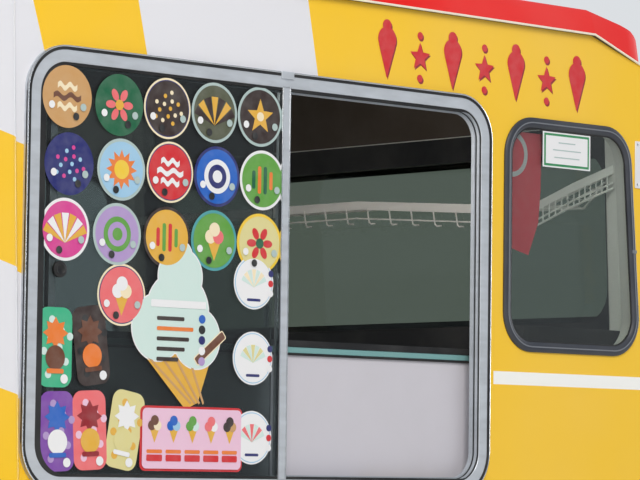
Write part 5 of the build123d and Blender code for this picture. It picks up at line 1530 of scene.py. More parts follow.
GEAR_BOOT = [
    (0.070, 0.0), (0.066, 0.012), (0.050, 0.030), (0.044, 0.034), (0.032, 0.062), (0.012, 0.085),
    (0.0, 0.086),
]
GEAR_KNOB = [(0.012, 0.0), (0.026, 0.014), (0.028, 0.034), (0.018, 0.052), (0.0, 0.056)]
gear = Piece("gear_lever", "black")
gear.turned(GEAR_BOOT, (-1.300, 0.060, FLOOR_TOP + 0.0005), (0, 0, 1), 24)
gear.turned(GEAR_KNOB, (-1.2100, 0.060, 1.010), (0.15, 0, 1), 24)
gear.done()
Piece("gear_lever_rod", "bright").tube(
    [(-1.300, 0.060, 0.715), (-1.270, 0.060, 0.800), (-1.210, 0.060, 1.016)], 0.007, 10
).done()
pedals = Piece("pedals", "black")
for y in (WHEEL_Y - 0.14, WHEEL_Y, WHEEL_Y + 0.14):
    pedals.tube([(-1.800, y, 0.835), (-1.760, y, 0.800), (-1.745, y, 0.735)], 0.007, 8)
    face = turned_plane((-1.742, y, 0.725), (0, 1, 0), (0.80, 0, 0.60))
    pedals.slab(rounded_plate(0.060, 0.075, 0.010), face, 0.0, 0.012)
pedals.done(bevel=0.002)


# Corner pillars, ceiling ribs, the board over the rear window and a lamp inside the vending space

pillars = Piece("inside_pillars", "lining")
for side in (-1, 1):
    corners = [(2.432, 0.912), (2.478, 0.912), (2.478, 0.954), (2.432, 0.954)]
    pillars.prism([(x, side * y, 1.610) for x, y in corners], (-0.033, 0, 0.69))
pillars.done(bevel=0.006)
RIB_LINE = (
    (-0.80, 2.400), (-0.40, 2.440), (0.40, 2.440), (0.80, 2.400), (0.80, 2.380), (0.40, 2.420),
    (-0.40, 2.420), (-0.80, 2.380),
)
# Ribs in the ceiling finish, whose dark brown is painted shade
ribs = Piece("ceiling_ribs", "ceiling")
for x in (-0.05, 0.55, 1.15, 1.75):
    ribs.prism([(x, y, z) for y, z in RIB_LINE], (0.045, 0, 0))
ribs.done(bevel=0.004)
# The board over the rear window also takes the painted shade of the ceiling finish
BOARD_LOW, BOARD_HIGH = 2.1625, 2.352
board_line = [(rear_x(z) - 0.0455, z) for z in (BOARD_LOW, BOARD_HIGH)]
board_line += [(rear_x(z) - 0.0495, z) for z in (BOARD_HIGH, BOARD_LOW)]
Piece("rear_header_board", "ceiling").prism(
    [(x, -0.870, z) for x, z in board_line], (0, 1.740, 0)
).done(bevel=0.001)
Piece("ceiling_lamp", "white").box(0.68, 1.10, -0.05, 0.05, 2.408, 2.432).done(bevel=0.012)


# Cabinet doors, lids and handles inside

cabinet = Piece("cabinet_doors", "white")
pulls = Piece("cabinet_pulls", "bright")
for k in range(4):
    x = 0.60 + 0.385 * k
    cabinet.box(x, x + 0.365, 0.504, 0.5195, 0.81, 1.44)
    pulls.tube(
        [(x + 0.05, y, z) for y, z in ((0.504, 1.32), (0.482, 1.32), (0.482, 1.20), (0.504, 1.20))], 0.005
    )
cabinet.done(bevel=0.003)
pulls.done()
Piece("cabinet_top", "steel").box(0.575, 2.098, 0.508, 0.953, 1.4805, 1.4925).done(bevel=0.002)
lids = Piece("freezer_lids", "laminate")
for k in range(2):
    lids.box(0.66 + 0.66 * k, 1.24 + 0.66 * k, 0.56, 0.90, 1.4930, 1.515)
lids.done(bevel=0.006)
rear_top = Piece("rear_case_top", "black")
rear_top.box(2.098, 2.482, -0.950, 0.950, 1.6005, 1.6385)
rear_top.box(2.082, 2.0985, -0.950, 0.950, 1.5640, 1.6385)
rear_top.done(bevel=0.002)
rear_doors = Piece("rear_case_doors", "white")
for k in range(3):
    y = -0.93 + 0.485 * k
    rear_doors.box(2.084, 2.0995, y, y + 0.465, 0.82, 1.56)
rear_doors.done(bevel=0.003)


# Soft ice machine: nozzles, levers, drip tray, knobs, louvres and hopper lids

NOZZLE_ROWS = [(0.030, 0.0), (0.030, 0.022), (0.020, 0.030), (0.020, 0.065), (0.013, 0.085), (0.0, 0.085)]
BALL_ROWS = [(0.0, -0.020), (0.013, -0.014), (0.015, 0.0), (0.013, 0.014), (0.0, 0.020)]
DIAL_KNOB_ROWS = [(0.017, 0.0), (0.015, 0.014), (0.0, 0.016)]
nozzles = Piece("machine_nozzles", "bright")
levers = Piece("machine_levers", "bright")
knobs = Piece("machine_knobs", "black")
for y in (0.42, 0.55, 0.68):
    nozzles.turned(NOZZLE_ROWS, (-0.088, y, 1.241), (0, 0, -1), 20)
    levers.tube([(-0.130, y, 1.36), (-0.158, y, 1.345), (-0.168, y, 1.27)], 0.007)
    knobs.turned(BALL_ROWS, (-0.169, y, 1.252), (0, 0, 1), 14)
for y in (0.37, 0.46, 0.64, 0.73):
    knobs.turned(DIAL_KNOB_ROWS, (-0.1302, y, 1.455), (-1, 0, 0), 18)
nozzles.done()
levers.done()
knobs.done()
tray = Piece("machine_tray", "steel")
tray.box(-0.165, -0.041, 0.34, 0.76, 0.985, 1.000)
tray.box(-0.165, -0.158, 0.34, 0.76, 1.000, 1.015)
tray.done(bevel=0.002)
slats = Piece("machine_louvres", "black")
for k in range(14):
    z = 0.76 + 0.028 * k
    slats.box(0.04, 0.34, 0.2475, 0.2497, z, z + 0.011)
    slats.box(-0.0425, -0.0403, 0.34, 0.76, 0.70 + 0.017 * k, 0.706 + 0.017 * k)
slats.done()
hoppers = Piece("machine_lids", "steel")
for x in (0.02, 0.21):
    lid = rounded_plate(0.16, 0.42, 0.03, x + 0.08, 0.55)
    hoppers.prism([(px, py, 1.7205) for px, py in lid], (0, 0, 0.028))
hoppers.done(bevel=0.004)


# Cab doors: waist rubber, window rubber, handles, locks and hinges

TUMBLE = math.atan(0.050 / (GUTTER_Z + 0.400 - BELT_Z))
DOOR_FACE = CAB_HALF_W - 0.0005
DOOR_GLASS = [(-1.496, 0.045), (-0.435, 0.045), (-0.435, 0.700), (-1.3006, 0.700), (-1.496, 0.4758)]
DOOR_SEAL = [(-0.002, 0.0), (-0.001, 0.005), (0.006, 0.007), (0.013, 0.004), (0.014, 0.0)]
LOCK_FACE_ROWS = [(0.012, 0.0), (0.011, 0.004), (0.0, 0.0045)]
DOOR_GRIP = ((-0.578, 0.986), (-0.566, 1.010), (-0.500, 1.014), (-0.434, 1.010), (-0.422, 0.986))


def door_place(side, x, up):
    """A door's x and height over the belt line, as the right and up of its own plane."""
    return (-side * x, up)


for name, side in SIDES:
    door = f"{name}_door"
    door_out = (0, side * math.cos(TUMBLE), math.sin(TUMBLE))
    plane = turned_plane((0, side * CAB_HALF_W, BELT_Z), (-side, 0, 0), door_out)
    glass_points = [door_place(side, *p) for p in (DOOR_GLASS if side < 0 else DOOR_GLASS[::-1])]
    Piece(f"door_window_rubber_{name}", "seal", door).frame_ring(
        rounded(glass_points, 0.035, 8), DOOR_SEAL, plane
    ).done()
    Piece(f"door_waist_rubber_{name}", "black", door).box(
        -1.500, -0.360, side * DOOR_FACE, side * 0.9925, 1.193, 1.212
    ).done(bevel=0.003)
    Piece(f"door_rub_strip_{name}", "plastic", door).box(
        -1.535, -0.360, side * DOOR_FACE, side * 0.9960, 0.880, 0.940
    ).done(bevel=0.004)
    # The handle's hollow is a thin black plate: painted shade in the recess
    hollow = [door_place(side, -0.500 + x, -0.105 + y) for x, y in rounded_plate(0.170, 0.070, 0.026)]
    Piece(f"door_handle_pocket_{name}", "black", door).prism(
        [plane @ Vector((*p, 0.0006)) for p in hollow], (0, side * 0.002, 0)
    ).done()
    Piece(f"door_handle_{name}", "plastic", door).tube(
        [(x, side * y, 1.075) for x, y in DOOR_GRIP], 0.010, 10
    ).done()
    Piece(f"door_lock_{name}", "bright", door).turned(
        LOCK_FACE_ROWS, (-0.440, side * CAB_HALF_W, 1.020), (0, side, 0), 20
    ).done()
    hinges = Piece(f"door_hinges_{name}", "white")
    for z in (0.93, 1.10):
        hinges.turned([(0.008, 0.0), (0.008, 0.055)], (-1.5745, side * 0.990, z), (0, 0, 1), 12)
    hinges.done()
    mirror_plate = [(-1.4496, side * 1.145 + y, 1.415 + z) for y, z in rounded_plate(0.150, 0.255, 0.022)]
    Piece(f"mirror_face_{name}", "mirror", door).prism(mirror_plate, (0.0012, 0, 0)).done()


# Front: number plate base, grille inlays and mesh, fog lamps


def nose_x(y, z):
    """Front face of the nose panels between the bumper and the brow."""
    plan = -2.575 + 0.035 * abs(y) / 0.660
    lower, upper = (-2.570, 0.700), (-2.545, 0.868)
    side = -2.570
    if z > lower[1]:
        side = lower[0] + (z - lower[1]) * (upper[0] - lower[0]) / (upper[1] - lower[1])
    return max(plan, side)


Piece("front_plate", "white").box(-2.611, -2.606, -0.260, 0.260, 0.445, 0.556).done(bevel=0.002)
inlay = Piece("grille_inlays", "bright")
for k in range(5):
    for side in (-1, 1):
        z = 0.6955 + 0.040 * k
        rings = []
        for y in (0.020, 0.555):
            front, back = nose_x(y, z) - 0.0035, nose_x(y, z) + 0.004
            rings.append([
                (front, side * y, z - 0.005), (front, side * y, z + 0.005), (back, side * y, z + 0.005),
                (back, side * y, z - 0.005),
            ])
        inlay.loft(rings)
inlay.done(bevel=0.001)
Piece("grille_back", "black").box(-2.495, -2.490, -0.560, 0.560, 0.600, 0.860).done()
mesh_bars = Piece("grille_mesh", "chassis")
for k in range(37):
    y = -0.54 + 0.03 * k
    mesh_bars.box(-2.503, -2.4955, y - 0.002, y + 0.002, 0.61, 0.85)
mesh_bars.done()
FOG_RIM_ROWS = [(0.052, -0.010), (0.052, 0.006), (0.046, 0.010), (0.043, 0.004), (0.043, -0.010)]
FOG_LENS_ROWS = [(0.043, -0.004), (0.042, 0.003), (0.030, 0.006), (0.0, 0.008)]
fogs = Piece("fog_lamps", "lens")
fog_rims = Piece("fog_lamp_rims", "black")
for side in (-1, 1):
    out = Vector((-0.9, side * 0.43, 0)).normalized()
    at = Vector((-2.520, side * 0.735, 0.400))
    fog_rims.turned(FOG_RIM_ROWS, at, out, 28, loop=True)
    fogs.turned(FOG_LENS_ROWS, at, out, 28)
fogs.done()
fog_rims.done()

# Headlamp bezels, front indicators, wipers, cowl vent, bonnet trims and the bumper's lower edge

bezel = Piece("headlamp_bezels", "plastic")
for side in (-1, 1):
    for z0, z1 in ((0.640, 0.652), (0.848, 0.860)):
        inner, outer = nose_x(0.600, z0) - 0.006, nose_x(0.660, z0) - 0.004
        front = [(inner, 0.598), (outer, 0.660), (-2.475, 0.800), (-2.405, 0.872)]
        back = [(x + 0.030, y - 0.004) for x, y in front]
        bezel.prism([(x, side * y, z0) for x, y in front + back[::-1]], (0, 0, z1 - z0))
bezel.done(bevel=0.002)
indicator = Piece("front_indicators", "amber lens")
for side in (-1, 1):
    rings = []
    for x, y in ((-2.487, 0.792), (-2.448, 0.826), (-2.412, 0.866)):
        face = [(x - 0.0035, side * y, z) for z in (0.662, 0.838)]
        rings.append(face + [(x + 0.010, side * (y - 0.008), z) for z in (0.838, 0.662)])
    indicator.loft(rings)
indicator.done(bevel=0.002)

SCREEN_OUT = SCREEN.to_3x3() @ Vector((0, 0, 1))
SPINDLE_ROWS = [(0.016, 0.0), (0.016, 0.020), (0.010, 0.028), (0.0, 0.029)]
wiper = Piece("wiper_arms", "black")
blade = Piece("wiper_blades", "black")
for pivot in (0.020, 0.640):
    wiper.turned(SPINDLE_ROWS, SCREEN @ Vector((-pivot, 0.040, 0.0)), SCREEN_OUT, 18)
    middle = (-pivot + 0.420, 0.145)
    arm = ((-pivot, 0.040, 0.024), (-pivot + 0.180, 0.070, 0.034), (*middle, 0.026))
    wiper.tube([SCREEN @ Vector(p) for p in arm], 0.006, 8)
    ends = [(middle[0] + t, middle[1] + t * 0.055) for t in (-0.290, -0.150, 0.0, 0.150, 0.290)]
    blade.tube([SCREEN @ Vector((x, y, 0.016)) for x, y in ends], 0.0055, 6)
    blade.tube([SCREEN @ Vector((x, y, 0.010)) for x, y in ends], 0.0025, 6)
wiper.done()
blade.done()

COWL_RISE = (COWL[1] - 0.962) / (COWL[0] + 2.450)


def cowl_z(x):
    """Height of the bonnet and the cowl, which rise in one slope to the windscreen."""
    return COWL[1] + (x - COWL[0]) * COWL_RISE


vent = Piece("cowl_vent", "black")
for k in range(23):
    y = -0.506 + 0.046 * k
    for x in (-2.046, -2.026):
        slot = [
            (x, y - 0.017, 0.0005), (x + 0.009, y - 0.017, 0.0045), (x + 0.009, y + 0.017, 0.0045),
            (x, y + 0.017, 0.0005),
        ]
        vent.prism([(sx, sy, cowl_z(x) + rise) for sx, sy, rise in slot], (0, 0, 0.0016))
vent.done()
TRIM_X = -2.450 + 0.004
Piece("bonnet_edge_trim", "plastic", "bonnet_lid").tube(
    [(TRIM_X, y, 0.9655) for y in (-0.700, 0, 0.700)], 0.006, 8
).done()
JET_X = -2.140
washers = Piece("washer_jets", "black", "bonnet_lid")
for y in (-0.30, 0.30):
    jet = [(0.012, -0.002), (0.012, 0.006), (0.006, 0.012), (0.0, 0.012)]
    washers.turned(jet, (JET_X, y, cowl_z(JET_X)), (-0.4, 0, 0.9), 14)
washers.done()
Piece("bumper_lower_edge", "black").box(-2.600, -2.560, -0.60, 0.60, 0.288, 0.3005).done(bevel=0.004)


# Rear: lamp segments and bases, number plate and its lamps, reflectors, top lamps, bumper pad

LAMP_Y = 0.900
LAMP_HALF = 0.040
LAMP_FACE = 0.0285
LAMP_SEGMENTS = (
    # finish, height of the lower edge, height of the upper edge
    ("red lens", 1.085, 1.165), ("amber lens", 1.170, 1.232), ("lens", 1.035, 1.080),
    ("red lens", 0.988, 1.030),
)
for name, side in SIDES:
    y0, y1 = side * LAMP_Y - LAMP_HALF, side * LAMP_Y + LAMP_HALF
    for k, (finish, z0, z1) in enumerate(LAMP_SEGMENTS):
        low, high = z0 * REAR_UP, z1 * REAR_UP
        Piece(f"rear_lamp_segment_{name}_{k + 1}", finish).slab(
            [(y0, low), (y1, low), (y1, high), (y0, high)], REAR, LAMP_FACE, 0.004
        ).done(bevel=0.0025)
lamp_base = Piece("rear_lamp_bases", "black")
for side in (-1, 1):
    outline = rounded_box(0.106, 0.276, 0.012, side * LAMP_Y, 1.110 * REAR_UP)
    lamp_base.frame_ring(outline, [(0.0, 0.0), (0.0, 0.012), (0.006, 0.014), (0.010, 0.0)], REAR)
lamp_base.done()
Piece("rear_plate", "vinyl yellow").box(2.5723, 2.5753, -0.260, 0.260, 0.850, 0.961).done(bevel=0.001)
PLATE_FRAME = (
    # y and z of the four edges round the plate
    (-0.266, 0.266, 0.844, 0.850), (-0.266, 0.266, 0.961, 0.967), (-0.266, -0.260, 0.850, 0.961),
    (0.260, 0.266, 0.850, 0.961),
)
plate_edge = Piece("rear_plate_edge", "black")
for edges in PLATE_FRAME:
    plate_edge.box(2.5700, 2.5760, *edges)
plate_edge.done(bevel=0.001)
plate_bolts = Piece("rear_plate_screws", "bright")
for y in (-0.200, 0.200):
    plate_bolts.turned(
        [(0.006, 0.0), (0.006, 0.003), (0.003, 0.0045), (0.0, 0.0045)], (2.5748, y, 0.905), (1, 0, 0), 14
    )
plate_bolts.done()
plate_lamp = Piece("rear_plate_lamps", "black")
for y in (-0.13, 0.13):
    plate_lamp.box(2.560, 2.592, y - 0.030, y + 0.030, 0.978, 0.996)
plate_lamp.done(bevel=0.004)
reflectors = Piece("rear_reflectors", "red lens")
for y in (-0.78, 0.78):
    reflectors.box(2.604, 2.608, y - 0.045, y + 0.045, 0.385, 0.425)
reflectors.done(bevel=0.0015)
markers = Piece("rear_top_lamps", "red lens")
for y in (-0.80, 0.80):
    markers.slab(rounded_plate(0.085, 0.030, 0.012, y, 2.215 * REAR_UP), REAR, 0.0, 0.014)
markers.done(bevel=0.003)
step_pad = Piece("rear_bumper_pad", "black")
step_pad.box(2.530, 2.598, -0.86, 0.86, 0.4702, 0.4745)
for k in range(6):
    step_pad.box(2.534 + 0.011 * k, 2.538 + 0.011 * k, -0.84, 0.84, 0.4745, 0.4765)
step_pad.done(bevel=0.0015)


# Sides: arch lips, sill mouldings, marker lamps, mud flaps, filler flap, louvres and service flap

ARCH_R = 0.4275
ARCH_STEPS = 36
# Section of the lip: outward from the arch, proud of the panel
ARCH_SECTION = [
    (0.0, -0.004), (0.0, 0.010), (0.006, 0.0135), (0.016, 0.0125), (0.024, 0.006), (0.024, -0.002)
]


def arch_lip(piece, cx, y, side, start, end):
    """Lip round a wheel arch, between two angles in degrees."""
    rings = []
    for k in range(ARCH_STEPS + 1):
        a = math.radians(start + (end - start) * k / ARCH_STEPS)
        ring = []
        for out, proud in ARCH_SECTION:
            r = ARCH_R + out
            ring.append((cx + r * math.cos(a), side * (y + proud), HUB_Z + r * math.sin(a)))
        rings.append(ring)
    piece.loft(rings)


MUD_FLAP_BACK = 0.452
SILLS = (
    # x from and to, panel face, z from and to
    (-0.265, 0.500, PANEL_Y, 0.385, 0.430), (0.530, 1.165, SIDE_Y, 0.385, 0.430),
    (2.060, 2.540, SIDE_Y, 0.4850, 0.525),
)
lips = Piece("arch_lips", "plastic")
sills = Piece("sill_mouldings", "plastic")
side_lamps = Piece("side_marker_lamps", "amber lens")
side_lamp_bases = Piece("side_marker_bases", "black")
flaps = Piece("mud_flaps", "black")
for side in (-1, 1):
    arch_lip(lips, REAR_AXLE_X, SIDE_Y, side, 6, 174)
    arch_lip(lips, FRONT_AXLE_X, CAB_HALF_W, side, 6, 112)
    for x0, x1, face, z0, z1 in SILLS:
        sills.box(x0, x1, side * (face - 0.0005), side * (face + 0.0075), z0, z1)
    for x, face in ((-0.13, PANEL_Y), (0.86, SIDE_Y), (2.28, SIDE_Y)):
        side_lamp_bases.box(
            x - 0.048, x + 0.048, side * (face - 0.0005), side * (face + 0.0055), 0.600, 0.645
        )
        side_lamps.box(x - 0.042, x + 0.042, side * (face + 0.0045), side * (face + 0.0135), 0.605, 0.640)
    for axle_x in (REAR_AXLE_X, FRONT_AXLE_X):
        flap_x = axle_x + MUD_FLAP_BACK
        flaps.box(flap_x, flap_x + 0.008, side * 0.775, side * 0.955, 0.150, 0.430)
lips.done(smooth=50)
sills.done(bevel=0.003)
side_lamps.done(bevel=0.003)
side_lamp_bases.done(bevel=0.002)
flaps.done(bevel=0.003)

Piece("filler_flap_seam", "black").frame_ring(
    rounded_box(0.190, 0.190, 0.030, -0.020, 0.950), flat_section(0.0, 0.004, 0.0301, 0.0310), OFF
).done()
Piece("filler_flap_lock", "bright").turned(
    [(0.013, 0.0), (0.012, 0.004), (0.0, 0.0045)], (0.075, PANEL_Y, 0.950), (0, 1, 0), 18
).done()
louvres = Piece("body_louvres", "plastic")
for k in range(7):
    z = 1.640 + 0.036 * k
    slat = [(0.02, PANEL_Y + 0.0002, z), (0.02, PANEL_Y + 0.0002, z + 0.026), (0.02, PANEL_Y + 0.010, z)]
    louvres.prism(slat, (0.300, 0, 0))
louvres.done()
Piece("service_flap", "white").box(
    2.13, 2.42, SIDE_Y - 0.0002, SIDE_Y + 0.003, 0.700, 1.100
).done(bevel=0.004)
service_lock = Piece("service_flap_locks", "bright")
for z in (0.76, 1.04):
    service_lock.turned(LOCK_FACE_ROWS, (2.160, SIDE_Y + 0.003, z), (0, 1, 0), 18)
service_lock.done()


# Roof: moulded cone with a raised lattice and a twisted swirl, in place of the plain one

CONE = (-0.560, 0.0)
CONE_Z = 2.465
CONE_FOOT = (CONE[0], CONE[1], CONE_Z)
WAFER_TURNS = 96
WAFER_ROWS = 16
WAFER_LIFT = 0.004
WAFER_RIBS = 8
WAFER_TWIST = 70
lattice = Piece("roof_cone_wafer", "wafer")
rings = []
for row in range(WAFER_ROWS + 1):
    r, z = 0.062 + 0.053 * (row / WAFER_ROWS), 0.060 + 0.190 * (row / WAFER_ROWS)
    ring = []
    for k in range(WAFER_TURNS):
        a = 2 * math.pi * k / WAFER_TURNS
        first = math.sin(WAFER_RIBS * a + z * WAFER_TWIST)
        second = math.sin(WAFER_RIBS * a - z * WAFER_TWIST)
        out = r - 0.003 + WAFER_LIFT * max(0.0, abs(first) ** 6 + abs(second) ** 6)
        ring.append((CONE[0] + out * math.cos(a), CONE[1] + out * math.sin(a), CONE_Z + z))
    rings.append(ring)
lattice.loft(rings)
lattice.done(replaces=["roof_cone"], slot="cone_moulding", smooth=60)
rim = Piece("roof_cone_rims", "wafer")
for r, z, thick in ((0.114, 0.250, 0.010), (0.138, 0.266, 0.012)):
    rows = [(r - 0.02, z - 0.012), (r, z - 0.012), (r + thick, z), (r, z + 0.012), (r - 0.02, z + 0.012)]
    rim.turned(rows, CONE_FOOT, (0, 0, 1), 64)
rim.done()
FOOT_ROWS = [
    (0.0, 0.006), (0.095, 0.006), (0.095, 0.022), (0.088, 0.028), (0.066, 0.036), (0.060, 0.066),
    (0.0, 0.066),
]
Piece("roof_cone_foot", "white").turned(FOOT_ROWS, CONE_FOOT, (0, 0, 1), 48).done(bevel=0.002)
foot_bolts = Piece("roof_cone_bolts", "bright")
for k in range(6):
    a = math.pi * k / 3 + 0.3
    at = (CONE[0] + 0.080 * math.cos(a), 0.080 * math.sin(a), CONE_Z + 0.026)
    foot_bolts.turned([(0.007, 0.0), (0.007, 0.006), (0.0, 0.007)], at, (0, 0, 1), 6)
foot_bolts.done()
SWIRL_LOW, SWIRL_H = 0.262, 0.306
SWIRL_LEVELS, SWIRL_SIDES = 90, 72
SWIRL_TIERS = 4.0
SWIRL_FLUTES = 9
swirl = Piece("roof_cone_swirl", "cream")
rings = []
for k in range(SWIRL_LEVELS + 1):
    t = k / SWIRL_LEVELS
    ring = []
    for j in range(SWIRL_SIDES):
        a = 2 * math.pi * j / SWIRL_SIDES
        winding = (t * SWIRL_TIERS - a / (2 * math.pi)) % 1.0
        bulge = math.sin(math.pi * winding) ** 0.7
        cone_r = 0.132 * (1 - t) ** 0.75 + 0.002
        r = cone_r * (0.80 + 0.22 * bulge)
        r *= 1 + 0.035 * math.cos(SWIRL_FLUTES * a + 20 * t)
        ring.append((CONE[0] + r * math.cos(a), r * math.sin(a), CONE_Z + SWIRL_LOW + SWIRL_H * t))
    rings.append(ring)
swirl.loft(rings)
swirl.done(smooth=80)


# Chime horns on the roof and their stands

HORN_Y = 0.230
HORN_AXIS = (1, 0, -0.06)
BELL_ROWS = [
    (0.018, 0.150), (0.020, 0.060), (0.034, 0.010), (0.060, -0.040), (0.082, -0.070), (0.084, -0.074),
    (0.078, -0.070), (0.055, -0.038), (0.030, 0.008), (0.0, 0.030),
]
DRIVER_ROWS = [(0.0, 0.150), (0.044, 0.150), (0.046, 0.162), (0.046, 0.205), (0.036, 0.215), (0.0, 0.215)]
horns = Piece("chime_horns", "white")
for side in (-1, 1):
    at = (-0.860, side * HORN_Y, 2.545)
    horns.turned(BELL_ROWS, at, HORN_AXIS, 36)
    horns.turned(DRIVER_ROWS, at, HORN_AXIS, 28)
horns.done(smooth=40)
stands = Piece("chime_stands", "chassis")
for y in (-HORN_Y, HORN_Y):
    stands.box(-0.735, -0.705, y - 0.012, y + 0.012, 2.466, 2.535)
    stands.box(-0.760, -0.680, y - 0.030, y + 0.030, 2.462, 2.482)
stands.done(bevel=0.002)


# Wheels: treaded tyres, nuts, hub caps and valves

TREAD_PITCHES = 66
GROOVES = (-0.048, -0.016, 0.016, 0.048)
GROOVE_HALF = 0.0045
GROOVE_DEPTH = 0.008
half_rim, half_tyre = RIM_W / 2, TYRE_W / 2
SIDEWALL = [
    (RIM_R + 0.0005, -half_rim + 0.005), (RIM_R + 0.014, -half_rim + 0.0045),
    (RIM_R + 0.015, -half_rim - 0.004), (RIM_R + 0.024, -half_rim - 0.012),
    (RIM_R + 0.030, -half_rim - 0.0125), (RIM_R + 0.045, -half_tyre + 0.003), (RIM_R + 0.058, -half_tyre),
    (RIM_R + 0.062, -half_tyre - 0.001), (RIM_R + 0.068, -half_tyre), (RIM_R + 0.090, -half_tyre + 0.001),
    (TYRE_R - 0.034, -half_tyre + 0.004), (TYRE_R - 0.022, -half_tyre + 0.008),
]
TREAD_EDGE = half_tyre - 0.022


def tread_columns():
    """Distances across the tread with a flag: 1 at a groove's floor, 2 on the shoulder blocks."""
    columns = [(-TREAD_EDGE, 2), (-half_tyre + 0.036, 2)]
    for groove in GROOVES:
        start, end = groove - GROOVE_HALF, groove + GROOVE_HALF
        columns += [(start, 0), (start + 0.001, 1), (end - 0.001, 1), (end, 0)]
    return columns + [(half_tyre - 0.036, 2), (TREAD_EDGE, 2)]


def crown_r(w):
    return TYRE_R - 0.006 * (abs(w) / TREAD_EDGE) ** 4


def tyre_rings(centre, side):
    """Rings round the tyre; across-cut slots sink the shoulder and middle blocks in turn."""
    rings = []
    for k in range(TREAD_PITCHES * 4):
        a = 2 * math.pi * (k // 4 + (0.0, 0.72, 0.76, 0.96)[k % 4]) / TREAD_PITCHES
        slot = k % 4 in (2, 3)
        rows = list(SIDEWALL)
        for w, flag in tread_columns():
            r = crown_r(w)
            if flag == 1:
                r -= GROOVE_DEPTH
            elif slot and flag == 2:
                r -= GROOVE_DEPTH * 0.75
            elif slot:
                r -= GROOVE_DEPTH * 0.35
            rows.append((r, w))
        rows += [(r, -w) for r, w in reversed(SIDEWALL)]
        row = [
            (centre[0] + r * math.cos(a), centre[1] + w * side, centre[2] + r * math.sin(a)) for r, w in rows
        ]
        rings.append(row)
    return rings


NUT_CIRCLE = 0.100
NUT_ROWS = [(0.011, 0.034), (0.011, 0.052), (0.009, 0.056), (0.0, 0.057)]
HUB_CAP_ROWS = [(0.040, 0.060), (0.038, 0.072), (0.030, 0.082), (0.016, 0.088), (0.0, 0.090)]
VALVE_R = 0.158
VALVE_TURN = math.radians(62)


def round_hub(hub, radius, turn, out=0.0):
    """Place on a circle round a hub, some way out from its middle plane."""
    return (hub[0] + radius * math.cos(turn), hub[1] + out, hub[2] + radius * math.sin(turn))


for end, axle_x in (("front", FRONT_AXLE_X), ("rear", REAR_AXLE_X)):
    for name, side in SIDES:
        hub = (axle_x, side * HALF_TRACK, HUB_Z)
        body = f"{end}_{name}_wheel"
        Piece(f"tyre_tread_{end}_{name}", "tyre", body).loft(tyre_rings(hub, side), loop=True).done(
            replaces=[f"tyre_{end}_{name}"], slot="tyre_rubber", smooth=40
        )
        out = (0, side, 0)
        nuts = Piece(f"wheel_nuts_{end}_{name}", "bright", body)
        for k in range(5):
            nuts.turned(NUT_ROWS, round_hub(hub, NUT_CIRCLE, 2 * math.pi * (k + 0.25) / 5), out, 6)
        nuts.done()
        Piece(f"hub_cap_{end}_{name}", "bright", body).turned(HUB_CAP_ROWS, hub, out, 32).done()
        valve = Piece(f"valve_{end}_{name}", "black", body)
        at = Vector(round_hub(hub, VALVE_R, VALVE_TURN, 0.040 * side))
        valve.tube([at, at + Vector((0, 0.028 * side, -0.006))], 0.004)
        valve.done()


# Camera at the photograph's place and angle, in the photograph's frame

YAW, PITCH, ROLL = math.radians(43.23), math.radians(4.0), math.radians(0.73)
FOCAL_PIXELS = 3372.0
PHOTO_WIDTH = 640.0
SENSOR_WIDTH = 36.0
CAMERA_PLACE = (-3.841, -6.534, 1.270)
look = Vector((math.sin(YAW) * math.cos(PITCH), math.cos(YAW) * math.cos(PITCH), math.sin(PITCH)))
level_right = Vector((math.cos(YAW), -math.sin(YAW), 0))
level_up = level_right.cross(look)
right = level_right * math.cos(ROLL) + level_up * math.sin(ROLL)
up = level_up * math.cos(ROLL) - level_right * math.sin(ROLL)
camera_data = bpy.data.cameras.new("camera")
camera_data.sensor_width = SENSOR_WIDTH
camera_data.lens = FOCAL_PIXELS * SENSOR_WIDTH / PHOTO_WIDTH
camera_data.clip_start, camera_data.clip_end = 0.1, 500.0
camera = placed("camera", camera_data)
turn = Matrix((right, up, -look)).transposed()
camera.matrix_world = Matrix.Translation(CAMERA_PLACE) @ turn.to_4x4()
bpy.context.scene.camera = camera


# Floor, sky and soft lamps

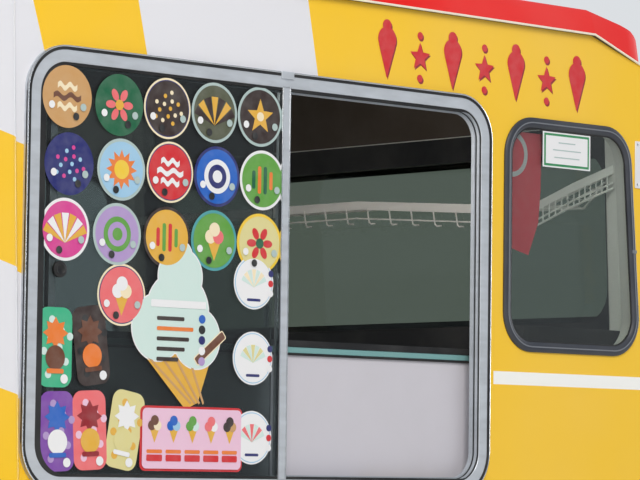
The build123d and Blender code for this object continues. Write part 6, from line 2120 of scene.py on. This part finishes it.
FLOOR_REACH = 120.0
floor_corners = [(x * FLOOR_REACH, y * FLOOR_REACH, 0) for x, y in ((-1, -1), (1, -1), (1, 1), (-1, 1))]
floor_mesh = bpy.data.meshes.new("studio_floor")
floor_mesh.from_pydata(floor_corners, [], [(0, 1, 2, 3)])
floor = placed("studio_floor", floor_mesh)
floor_finish, tree, shader = new_material("studio floor")
mottle = ramp(tree, noise(tree, place_of(tree), 0.8, 4.0), 0.3, 0.7, 0.0, 1.0)
put(tree, shader.inputs["Base Color"], mixed(tree, mottle, (0.62, 0.62, 0.61, 1), (0.66, 0.66, 0.65, 1)))
preset(shader, Roughness=0.8)
floor_mesh.materials.append(floor_finish)

world = bpy.data.worlds.new("studio sky")
bpy.context.scene.world = world
world.use_nodes = True
tree = world.node_tree
background = tree.nodes["Background"]
seen = add(tree, "ShaderNodeLightPath").outputs["Is Camera Ray"]
put(tree, background.inputs["Color"], mixed(tree, seen, (0.86, 0.92, 1.0, 1), (0.84, 0.87, 0.90, 1)))
put(tree, background.inputs["Strength"], ramp(tree, seen, 0.0, 1.0, 0.44, 0.85))

LAMPS = (
    # name, place, aim, size, watts, colour
    ("key", (-4.0, -9.0, 8.5), (0.5, -0.8, 1.4), 6.0, 920.0, (1.0, 0.96, 0.90)),
    ("far side", (3.0, 9.0, 7.0), (0.0, 0.5, 1.3), 6.0, 620.0, (1.0, 0.98, 0.95)),
    ("front", (-9.0, 1.0, 6.0), (-1.5, 0.0, 1.2), 5.0, 420.0, (1.0, 1.0, 1.0)),
    ("rear", (10.0, 0.0, 3.2), (2.0, 0.0, 1.3), 4.0, 300.0, (0.96, 0.98, 1.0)),
    ("inside", (1.15, -0.72, 2.28), (2.35, -0.55, 1.93), 0.25, 4.5, (1.0, 0.96, 0.90)),
)
for name, place, aim, size, watts, colour in LAMPS:
    lamp = bpy.data.lights.new(name, "AREA")
    lamp.shape, lamp.size, lamp.energy, lamp.color = "SQUARE", size, watts, colour
    made = placed(name, lamp)
    made.location = place
    made.rotation_mode = "QUATERNION"
    made.rotation_quaternion = (Vector(aim) - Vector(place)).to_track_quat("-Z", "Y")

bpy.context.scene.view_settings.view_transform = "Standard"
